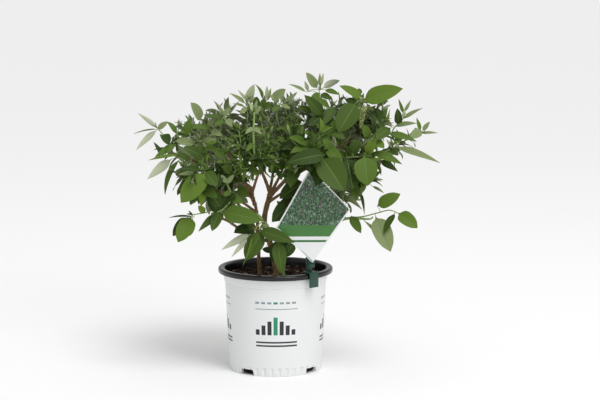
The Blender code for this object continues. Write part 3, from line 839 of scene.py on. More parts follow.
@dataclass
class PotWall:
    """The white wall with its collar, fluted foot, drainage notches and a plain print."""

    height: float = 140.3
    collar_radius: float = 75.6
    collar_depth: float = 13.0
    shoulder_radius: float = 72.6
    foot_radius: float = 66.5
    wall: float = 1.5
    floor: float = 2.0
    foot_ring: float = 6.0
    foot_ring_height: float = 12.0
    # How far in from the outside a face turns black: the inner layer, and painted shade deep in the notches.
    lining: float = 4.5
    segments: int = 152
    flute_every: int = 4
    flute_depth: float = 1.7
    flute_top: float = 11.0
    notches: int = 4
    notch_bearing: float = -38.0
    notch_size: Point = (28.0, 25.0, 17.0)
    notch_taper: float = 0.74
    notch_edge: float = 1.2
    prints: int = 4
    # The print's lines, and the columns of faces on each side of its middle.
    lines: tuple[Band, ...] = ((44, 46.4, CHARCOAL), (49, 51.4, CHARCOAL), (98, 99.2, GREY))
    half_columns: int = 10
    # The row of dots and the row of uprights, each two columns wide with one left bare.
    dots: Pair = (106, 109)
    uprights_foot: float = 61.0
    upright_tops: tuple[float, ...] = (69, 75, 81, 87, 81, 75, 69)

    def radius(self, height: float) -> float:
        """Give the outer radius at a height between the foot and the shoulder."""
        share = height / (self.height + 0.3 - self.collar_depth)
        return self.foot_radius + share * (self.shoulder_radius - self.foot_radius)

    def profile(self) -> Profile:
        """List the profile from the underside, up the outside and down the inside."""
        shoulder = self.height - self.collar_depth
        foot, edge, wall = self.foot_radius, self.shoulder_radius, self.wall
        rings = {self.uprights_foot, *self.upright_tops, *self.dots}.union(*(line[:2] for line in self.lines))
        outside = [self.flute_top, self.flute_top + 1.2, *sorted(rings), shoulder - 0.6]
        return [
            (foot - 1, 0.0),
            (foot - 0.3, 0.3),
            (foot, 1.0),
            *((self.radius(height), height) for height in outside),
            (edge - 0.35, shoulder),
            (edge + 0.2, shoulder + 0.5),
            (edge + 1.0, shoulder + 1.2),
            (self.collar_radius, self.height),
            (self.collar_radius - wall, self.height),
            (edge - wall, shoulder),
            (self.radius(self.foot_ring_height) - wall, self.foot_ring_height + 2),
            (foot - self.foot_ring + 0.5, self.foot_ring_height),
            (foot - self.foot_ring, self.floor),
        ]

    def flute(self, made: Object) -> None:
        """Press every fourth point of the foot's outside in, as the mould's flutes do."""
        low, high = 0.9 * MM, (self.flute_top + 0.1) * MM
        inner = (self.foot_radius - 0.5) * MM
        step = math.tau / self.segments

        def in_flute(point: Vector) -> bool:
            """Say whether a point lies in a flute."""
            number = round(math.atan2(point.y, point.x) / step)
            near = math.hypot(point.x, point.y) > inner
            return near and low <= point.z <= high and number % self.flute_every == 0

        share = 1 - self.flute_depth / self.foot_radius
        with editing():
            pick(made, in_flute)
            bpy.ops.transform.resize(value=(share, share, 1), center_override=(0, 0, 0))

    def notch_cutter(self, number: int) -> Object:
        """Model the cutter of the notch of this number, narrower at its top."""
        angle = math.radians(self.notch_bearing) + number * math.tau / self.notches
        made = box(f"notch {number}", self.notch_size, bearing(angle, self.foot_radius), angle)
        top = bearing(angle, self.foot_radius, self.notch_size[2] / 2) * MM
        with editing():
            pick(made, lambda point: point.z > 0)
            bpy.ops.transform.resize(value=(self.notch_taper, self.notch_taper, 1), center_override=top)
        modify(made, "BEVEL", width=self.notch_edge * MM, segments=3)
        return made

    def print_slot(self, middle: Vector) -> int:
        """Say which ink a face of the wall carries, by its middle in metres.

        The print is a row of dots over a fine line, a plain row of uprights
        that rise to the middle, and two bold lines.
        """
        height = middle.z / MM
        if math.hypot(middle.x, middle.y) < (self.radius(height) - self.wall / 4) * MM:
            return BARE
        column = round(math.atan2(middle.x, -middle.y) / (math.tau / self.segments) - 0.5)
        span = self.segments // self.prints
        column = (column + span // 2) % span - span // 2
        if abs(column) > self.half_columns:
            return BARE
        for low, high, slot in self.lines:
            if low < height < high:
                return slot
        number, place = divmod(column + self.half_columns, 3)
        in_dots = self.dots[0] < height < self.dots[1]
        in_upright = self.uprights_foot < height < self.upright_tops[number]
        if place == 2 or not (in_dots or in_upright):
            return BARE
        if number == len(self.upright_tops) // 2:
            return GREEN
        return GREY if in_dots else CHARCOAL

    def in_lining(self, middle: Vector) -> bool:
        """Say whether a face's middle, in metres, lies on the black inner layer, or deep in a notch where the
        black is painted shade.
        """
        out = math.hypot(middle.x, middle.y) / MM
        height = middle.z / MM
        return out < self.radius(height) - self.lining and height > 0.5

    def build(self) -> None:
        """Model the wall, print it and hand it over."""
        made = lathe("pot_wall_finished", self.profile(), self.segments)
        self.flute(made)
        dress(made, (POT_WHITE, PRINT_CHARCOAL, PRINT_GREEN, PRINT_GREY, RIM_BLACK))
        for slot in (CHARCOAL, GREEN, GREY):
            deal_faces(made, slot, lambda middle: self.print_slot(middle) == slot)
        for number in range(self.notches):
            cutter = self.notch_cutter(number)
            modify(made, "BOOLEAN", operation="DIFFERENCE", solver="EXACT", object=cutter)
            bpy.data.objects.remove(cutter)
        # The plastic's inner layer is black and shows inside; the black on the faces deep in the notches is
        # painted shade.
        deal_faces(made, LINING_AND_NOTCH_SHADE, self.in_lining)
        settle(made, "pot_wall_finished", 22)
        hand_over(made, "pot_white", ("pot_wall",))


@dataclass
class PotRim:
    """The black rim, rolled outwards, and the lining that hangs inside the wall."""

    top: float = 148.0
    depth: float = 7.4
    radius: float = 82.5
    inside: float = 73.8
    lining: float = 0.8
    lining_low: float = 128.0
    lining_radius: float = 71.1
    segments: int = 144
    roll: float = 2.6
    roll_steps: int = 7

    def profile(self) -> Profile:
        """List the profile: over the roll, under it, and down and up the lining."""
        top, low, inside, roll = self.top, self.top - self.depth, self.inside, self.roll
        rows = [(inside - self.lining, top - 2.6), (inside - 0.3, top - 1.1)]
        rows += [(inside + 0.8, top - 0.35), (inside + 2.2, top)]
        for step in range(self.roll_steps + 1):
            angle = math.pi / 2 * (1 - step / self.roll_steps)
            rows.append((self.radius - roll + roll * math.cos(angle), top - roll + roll * math.sin(angle)))
        rows += [(self.radius, low + 1.6), (self.radius - 0.5, low + 0.5), (self.radius - 1.5, low)]
        rows += [(inside, low), (self.lining_radius, self.lining_low)]
        rows += [(self.lining_radius - self.lining, self.lining_low), (inside - self.lining, low)]
        return [*rows, rows[0]]

    def build(self) -> None:
        """Model the rim and hand it over."""
        made = lathe("pot_rim_finished", self.profile(), self.segments, ring=True)
        dress(made, (RIM_BLACK,))
        hand_over(made, "rim_black", ("pot_rim",))


@dataclass
class PottingMix:
    """The mix that fills the pot: the plain solid with its finish, and chips that lie on it."""

    level: float = 136.0
    radius: float = 69.5
    chips: int = 1500
    longest: float = 8.0
    shortest: float = 1.6
    # Breadth and height as shares of the length, and the share of each kind of chip.
    broad: Pair = (0.35, 0.8)
    tall: Pair = (0.2, 0.45)
    shares: tuple[float, ...] = (0.42, 0.34, 0.13, 0.11)
    # How far the chips lie tipped, in radians, and how high they lie heaped.
    tip: float = 0.35
    heap: float = 1.6
    seed: int = 11

    def place_chips(self) -> tuple[np.ndarray, np.ndarray, np.ndarray]:
        """Scatter chips as small tapered blocks.

        Returns:
            Their points, their four-cornered faces, and the faces' slots.
        """
        dice = np.random.default_rng(self.seed)
        count = self.chips
        block = np.array([(x, y, z) for z in (-1, 1) for y in (-1, 1) for x in (-1, 1)], float) / 2
        sides = [(0, 2, 3, 1), (4, 5, 7, 6), (0, 1, 5, 4), (2, 6, 7, 3), (0, 4, 6, 2), (1, 3, 7, 5)]
        lengths = self.shortest + (self.longest - self.shortest) * dice.random(count) ** 2.4
        breadths, heights = (lengths * dice.uniform(*shares, count) for shares in (self.broad, self.tall))
        sizes = np.stack([lengths, breadths, heights], 1)
        corners = block[None] * sizes[:, None] * dice.uniform(0.6, 1.0, (count, 8, 1))
        turns = dice.uniform(0, math.tau, count)
        tips = dice.normal(0, self.tip, (count, 2))
        reach = (self.radius - lengths / 2) * np.sqrt(dice.random(count))
        angles = dice.uniform(0, math.tau, count)
        levels = self.level + heights * 0.2 + dice.random(count) ** 3 * self.heap
        for i in range(count):
            turn = Matrix.Rotation(turns[i], 3, "Z") @ Matrix.Rotation(tips[i, 0], 3, "X")
            turn = turn @ Matrix.Rotation(tips[i, 1], 3, "Y")
            place = (reach[i] * math.cos(angles[i]), reach[i] * math.sin(angles[i]), levels[i])
            corners[i] = corners[i] @ np.array(turn).T + place
        faces = (np.array(sides) + len(block) * np.arange(count)[:, None, None]).reshape(-1, 4)
        slots = dice.choice(len(CHIPS), count, p=self.shares)
        return corners.reshape(-1, 3), faces, np.repeat(slots, len(sides))

    def build(self) -> None:
        """Finish the plain solid, then scatter the chips and hand them over."""
        dress(frame["nodes"]["potting_mix"], (MIX_DARK,))
        points, faces, slots = self.place_chips()
        made = array_object("bark_chips", points, [(faces, slots)], CHIPS)
        hand_over(made, "potting_mix")


# Label and clip


@dataclass
class LabelCard:
    """The kite-shaped label: a white card with a printed hedge, a green band and a fine green line."""

    thickness: float = 0.6
    depth: float = -59.0
    foot: Pair = (52.3, 163.3)
    corners: tuple[Pair, ...] = ((0, 0), (53.5, 76.5), (-3.5, 135.5), (-51.5, 50.5))
    margin: float = 2.0
    corner_radius: float = 1.2
    bands: tuple[Band, ...] = ((193, 196, 3), (201, 217, 2), (217, 300, 1))

    def edges(self) -> list[tuple[Vector, Vector]]:
        """List the card's edges by their ends."""
        foot_x, foot_z = self.foot
        corners = [Vector((foot_x + x, self.depth, foot_z + z)) for x, z in self.corners]
        return list(zip(corners, corners[1:] + corners[:1]))

    def slice(self, first: Vector, second: Vector, clear: bool = False) -> None:
        """Cut all of the card along a line, in edit mode.

        Args:
            first: A point of the line.
            second: A further point of it.
            clear: Whether what lies to the line's right is removed.
        """
        out = (second - first).cross(TO_FRONT).normalized()
        bpy.ops.mesh.select_all(action="SELECT")
        bpy.ops.mesh.bisect(plane_co=first * MM, plane_no=out, clear_outer=clear, threshold=0.001 * MM)

    def slot_of(self, middle: Vector) -> int:
        """Say which print a face carries, by its middle in metres: 0 is the white card."""
        if not self.inside(middle / MM, self.margin * 0.9):
            return 0
        return next((slot for low, high, slot in self.bands if low < middle.z / MM < high), 0)

    def build(self) -> None:
        """Cut the card from a sheet, print its front and give it its thickness."""
        place = (50 * MM, self.depth * MM, 230 * MM)
        bpy.ops.mesh.primitive_plane_add(size=300 * MM, location=place, rotation=(math.pi / 2, 0, 0))
        made = settle(bpy.context.object, "label_card_printed", 0)
        with editing():
            for first, second in self.edges():
                self.slice(first, second, clear=True)
            bpy.ops.mesh.select_all(action="SELECT")
            bpy.ops.mesh.bevel(affect="VERTICES", offset=self.corner_radius * MM, segments=4)
            bpy.ops.mesh.select_all(action="SELECT")
            bpy.ops.mesh.select_mode(type="FACE")
            bpy.ops.mesh.inset(thickness=self.margin * MM)
            for height in sorted({edge for band in self.bands for edge in band[:2]}):
                self.slice(Vector((0, self.depth, height)), Vector((1, self.depth, height)))
        dress(made, (CARD_WHITE, CARD_PICTURE, CARD_GREEN, CARD_DEEP_GREEN))
        for slot in (1, 2, 3):
            deal_faces(made, slot, lambda middle: self.slot_of(middle) == slot)
        modify(made, "SOLIDIFY", thickness=self.thickness * MM, offset=0)
        front = (self.depth - self.thickness / 2 + 0.05) * MM
        deal_faces(made, 0, lambda middle: middle.y > front)
        settle(made, "label_card_printed", 30)
        hand_over(made, "label", ("label_card",))

    def inside(self, place: Vector, margin: float) -> bool:
        """Say whether a place lies inside the card's outline by this margin."""
        for first, second in self.edges():
            out = (second - first).cross(TO_FRONT).normalized()
            if (place - first).dot(out) > -margin:
                return False
        return True


@dataclass
class LabelClip:
    """The green clip: a post inside the rim, an arm over it, a tab outside and two cheeks round the card."""

    turn: float = 40.0
    width: float = 15.5
    post_width: float = 10.5
    post_turn: float = 43.0
    thickness: float = 2.4
    post_radius: float = 69.6
    post_low: float = 136.3
    post_top: float = 173.0
    arm_height: float = 149.8
    tab_radius: float = 84.3
    tab_low: float = 129.0
    cheek_depth: float = 2.4
    toe_height: float = 5.5
    cheek_size: Pair = (8.0, 9.0)
    cheek_middle: Pair = (51.3, 161.5)
    card_depth: float = -59.0
    card_gap: float = 0.7
    edge: float = 0.45

    def build(self) -> None:
        """Model the clip's parts, join them and hand the clip over."""
        turn = math.radians(self.turn)
        post_tall = self.post_top - self.post_low
        tab_tall = self.arm_height + self.thickness / 2 - self.tab_low
        post = bearing(math.radians(self.post_turn), self.post_radius, self.post_low + post_tall / 2)
        arm = bearing(turn, (self.post_radius + self.tab_radius) / 2, self.arm_height)
        tab = bearing(turn, self.tab_radius, self.tab_low + tab_tall / 2)
        arm_size = (self.width - 0.3, self.tab_radius - self.post_radius, self.thickness - 0.2)
        wide, tall = self.cheek_size
        low = self.cheek_middle[1] - tall / 2
        near, far = (self.card_depth + side * (self.card_gap + self.cheek_depth / 2) for side in (-1, 1))
        middle = self.cheek_middle[0]
        # The size, middle and turn of post, arm, tab, front cheek, back cheek and the bridge below the card.
        rows = (
            ((self.post_width, self.thickness, post_tall), post, turn),
            (arm_size, arm, turn),
            ((self.width, self.thickness, tab_tall), tab, turn),
            ((wide, self.cheek_depth, self.toe_height), (middle, near, low + self.toe_height / 2), 0),
            ((wide, self.cheek_depth, tall), (middle, far, low + tall / 2), 0),
            ((wide, 2 * self.cheek_depth, 2.0), (middle, self.card_depth, low + 0.8), 0),
        )
        parts = [box("clip part", *row) for row in rows]
        activate(*parts)
        bpy.ops.object.join()
        modify(parts[0], "BEVEL", width=self.edge * MM, segments=2)
        made = settle(parts[0], "label_clip_moulded", 40)
        dress(made, (CLIP_GREEN,))
        hand_over(made, "clip", ("label_clip",))


# Leaves


class Tone(Enum):
    """The colours of leaves, each the finish of one face of a leaf."""

    # Old leaves deep in the crown, their darker green partly painted shade.
    DARK = Finish("old leaf in painted shade", "#33471a", 0.55, 0.15)
    # Grown leaves in the shade.
    DEEP = Finish("deep green leaf", "#445a22", 0.55, 0.15)
    # Grown leaves.
    MID = Finish("grown leaf", "#526b28", 0.55, 0.15)
    # Leaves of this summer.
    FRESH = Finish("fresh leaf", "#5c762a", 0.55, 0.15)
    # Leaves with the light on them.
    BRIGHT = Finish("bright leaf", "#67802b", 0.55, 0.15)
    # Small leaves that have just opened, thinly felted.
    YOUNG = Finish("young felted leaf", "#808e60", 0.7, 0.2)
    # The smallest leaves at the tips, grey with felt.
    PALE = Finish("pale tip leaf", "#a3ae87", 0.75, 0.2)
    # The underside of a grown leaf.
    UNDERSIDE = Finish("grey-green leaf underside", "#7f8c64", 0.75, 0.2)
    # The underside of a young leaf, thick with felt.
    FELT = Finish("white felted underside", "#b5bca1", 0.8, 0.2)
    # The leaf's middle vein.
    VEIN = Finish("leaf vein", "#5f7838", 0.6, 0.25)


DARK, DEEP, MID, FRESH, BRIGHT, YOUNG, PALE, UNDERSIDE, FELT, VEIN = TONES = tuple(Tone)
YOUNG_TONES = (YOUNG, PALE, FELT)


class Facing(Enum):
    """Where the upper face of a leaf looks."""

    FRONT = (0.0, -1.0, 0.45)
    UNDER = (0.0, 1.0, 0.25)
    LEVEL = (0.0, -0.25, 1.0)
    SLANT = (0.0, -0.75, 0.8)
    LEFT = (-0.8, -0.7, 0.3)
    RIGHT = (0.8, -0.7, 0.3)
    REAR = (0.0, 1.0, 0.45)


FRONT, UNDER, LEVEL, SLANT, LEFT, RIGHT, REAR = Facing


# Where the ribs of a large leaf stand, and its vein's edge, as shares of its half breadth.
RIB = 0.52
VEIN_EDGE = 0.032


class Grade(Enum):
    """How finely a leaf is meshed: the places of its points along it and across it."""

    SMALL = ((0.0, 0.25, 0.6, 0.87, 1.0), (-1.0, 0.0, 1.0))
    MEDIUM = ((0.0, 0.1, 0.24, 0.42, 0.62, 0.8, 0.92, 1.0), (-1.0, 0.0, 1.0))
    LARGE = (
        (0.0, 0.06, 0.13, 0.21, 0.3, 0.39, 0.48, 0.57, 0.66, 0.75, 0.83, 0.9, 0.96, 1.0),
        (-1.0, -RIB, -VEIN_EDGE, VEIN_EDGE, RIB, 1.0),
    )


# A leaf's half breadth along it, as a share of its greatest: a short stalk, a round base and a drawn-out tip.
OUTLINE_PLACES = (0.0, 0.05, 0.1, 0.18, 0.28, 0.4, 0.55, 0.7, 0.82, 0.92, 1.0)
LANCE_SHARES = (0.08, 0.1, 0.34, 0.74, 0.96, 1.0, 0.88, 0.66, 0.42, 0.19, 0.015)
OVAL_SHARES = (0.05, 0.08, 0.44, 0.8, 0.96, 1.0, 0.97, 0.84, 0.63, 0.32, 0.015)
LANCE_LIMIT = 0.34
OVAL_LIMIT = 0.5


@dataclass(frozen=True)
class Blade:
    """A leaf of the crown's outline.

    Attributes:
        breadth: Its greatest breadth.
        tone: The colour of its upper face.
        facing: Where its upper face looks.
        arch: How far it bends along its length, in radians.
    """

    breadth: float
    tone: Tone
    facing: Facing = FRONT
    arch: float = 0.35


@dataclass(frozen=True)
class Sprig:
    """A spray that gives the crown its outline.

    Attributes:
        mass: The mass that it grows in.
        path: The points of its twig beyond the mass's own stem.
        rows: Its leaves, each the root and the run from there to the tip, then a Blade.
        stem: The radius of its twig's foot.
    """

    mass: str
    path: tuple[Point, ...]
    rows: tuple[tuple[float | Tone | Facing, ...], ...]
    stem: float = 1.2


@dataclass(frozen=True)
class Habit:
    """How one mass grows beyond the plain model's rule.

    Attributes:
        leaf: The length of a grown leaf.
        breadth: Its breadth as a share of its length.
        joint: The length of stem from one pair of leaves to the next.
        sprigs: The chance that a leaf joint carries a side sprig.
        fans: The number of the rule's fanned shoots that are grown.
        fills: The number of further shoots.
        tones: The tones dealt to its sprays.
        spread: How far the further shoots reach, as a share of the mass's own reach.
    """

    leaf: float
    breadth: float
    joint: float
    sprigs: float
    fans: int
    fills: int
    tones: tuple[Tone, ...]
    spread: float = 0.95


@dataclass(frozen=True)
class Mass:
    """A mass of leafy shoots.

    Attributes:
        limb: The limb it grows from.
        heart: The middle of its space.
        reach: The half sizes of its space.
        shoots: The number of its fanned shoots.
        habit: How it grows beyond that.
    """

    limb: str
    heart: Point
    reach: Point
    shoots: int
    habit: Habit


# Tone sets for the masses: the darker tones paint the shade inside the crown, the brighter ones the light on
# it.
SHADED = (DARK, DARK, DARK, DEEP, DEEP, MID)
MIXED = (DARK, DEEP, MID, FRESH)
SUNNY = (DEEP, MID, FRESH, BRIGHT)
TIPS = (DEEP, MID, FRESH, YOUNG)
CANOPY = (DARK, DARK, DEEP, DEEP, MID, YOUNG)

MASSES = {
    "top_left": Mass(
        "bough_top_left", (-46, 6, 338), (44, 46, 46), 4, Habit(26, 0.3, 11, 0.5, 4, 5, CANOPY)
    ),
    "top_centre": Mass(
        "bough_top_centre", (12, 12, 334), (38, 46, 46), 5, Habit(26, 0.3, 11, 0.5, 5, 5, CANOPY)
    ),
    "top_right": Mass(
        "bough_top_right", (66, 14, 348), (38, 46, 46), 3, Habit(30, 0.32, 12, 0.45, 3, 5, CANOPY)
    ),
    "upper_right": Mass(
        "bough_right", (120, -10, 352), (40, 46, 40), 4, Habit(44, 0.42, 15, 0.2, 4, 1, SUNNY)
    ),
    "right_tip": Mass(
        "bough_far_right", (174, -8, 324), (34, 46, 34), 2, Habit(26, 0.36, 14, 0.1, 2, 0, TIPS)
    ),
    "right_front": Mass(
        "bough_right_front", (98, -44, 294), (44, 34, 34), 6, Habit(46, 0.48, 16, 0.2, 6, 1, MIXED)
    ),
    "front_right": Mass(
        "bough_front_right", (42, -64, 320), (40, 34, 36), 5, Habit(40, 0.46, 14, 0.25, 5, 2, SHADED)
    ),
    "right_low": Mass(
        "bough_low_right", (138, -40, 226), (36, 40, 26), 2, Habit(26, 0.4, 15, 0.1, 0, 0, TIPS)
    ),
    "far_left": Mass(
        "bough_far_left", (-150, -24, 321), (32, 42, 34), 2, Habit(24, 0.4, 14, 0.1, 1, 0, TIPS)
    ),
    "left_upper": Mass(
        "bough_left", (-100, 14, 332), (40, 44, 36), 4, Habit(28, 0.34, 12, 0.4, 4, 2, TIPS)
    ),
    "left_front": Mass(
        "bough_left_front", (-104, -54, 280), (40, 38, 34), 5, Habit(34, 0.5, 14, 0.2, 4, 1, SHADED)
    ),
    "left_middle": Mass(
        "bough_left_middle", (-62, -18, 284), (34, 34, 34), 5, Habit(28, 0.36, 12, 0.35, 5, 1, SHADED)
    ),
    "low_left": Mass(
        "bough_low_left", (-90, -58, 234), (34, 34, 26), 3, Habit(26, 0.46, 14, 0.0, 0, 0, MIXED)
    ),
    "low_front": Mass(
        "bough_low_front", (-22, -56, 208), (36, 30, 30), 2, Habit(24, 0.44, 14, 0.0, 0, 0, SHADED)
    ),
    "low_centre": Mass(
        "green_stem", (30, -8, 232), (32, 26, 30), 3, Habit(24, 0.42, 14, 0.1, 1, 0, SHADED)
    ),
    "front": Mass(
        "bough_front", (-22, -66, 316), (44, 34, 38), 5, Habit(28, 0.34, 12, 0.35, 5, 1, SHADED)
    ),
    "back_left": Mass(
        "bough_back_left", (-86, 90, 318), (46, 44, 44), 4, Habit(40, 0.42, 15, 0.3, 4, 6, MIXED, 1.35)
    ),
    "back": Mass(
        "bough_back", (0, 104, 330), (44, 44, 44), 4, Habit(40, 0.4, 15, 0.3, 4, 6, MIXED, 1.35)
    ),
    "back_right": Mass(
        "bough_back_right", (88, 90, 322), (46, 44, 44), 4, Habit(40, 0.42, 15, 0.3, 4, 6, MIXED, 1.35)
    ),
    "low_back_left": Mass(
        "bough_low_back_left", (-74, 70, 244), (40, 40, 30), 4, Habit(30, 0.46, 15, 0.2, 4, 3, SHADED, 1.3)
    ),
    "low_back_right": Mass(
        "bough_low_back_right", (82, 66, 244), (40, 40, 30), 4, Habit(28, 0.46, 15, 0.2, 4, 3, SHADED, 1.3)
    ),
}

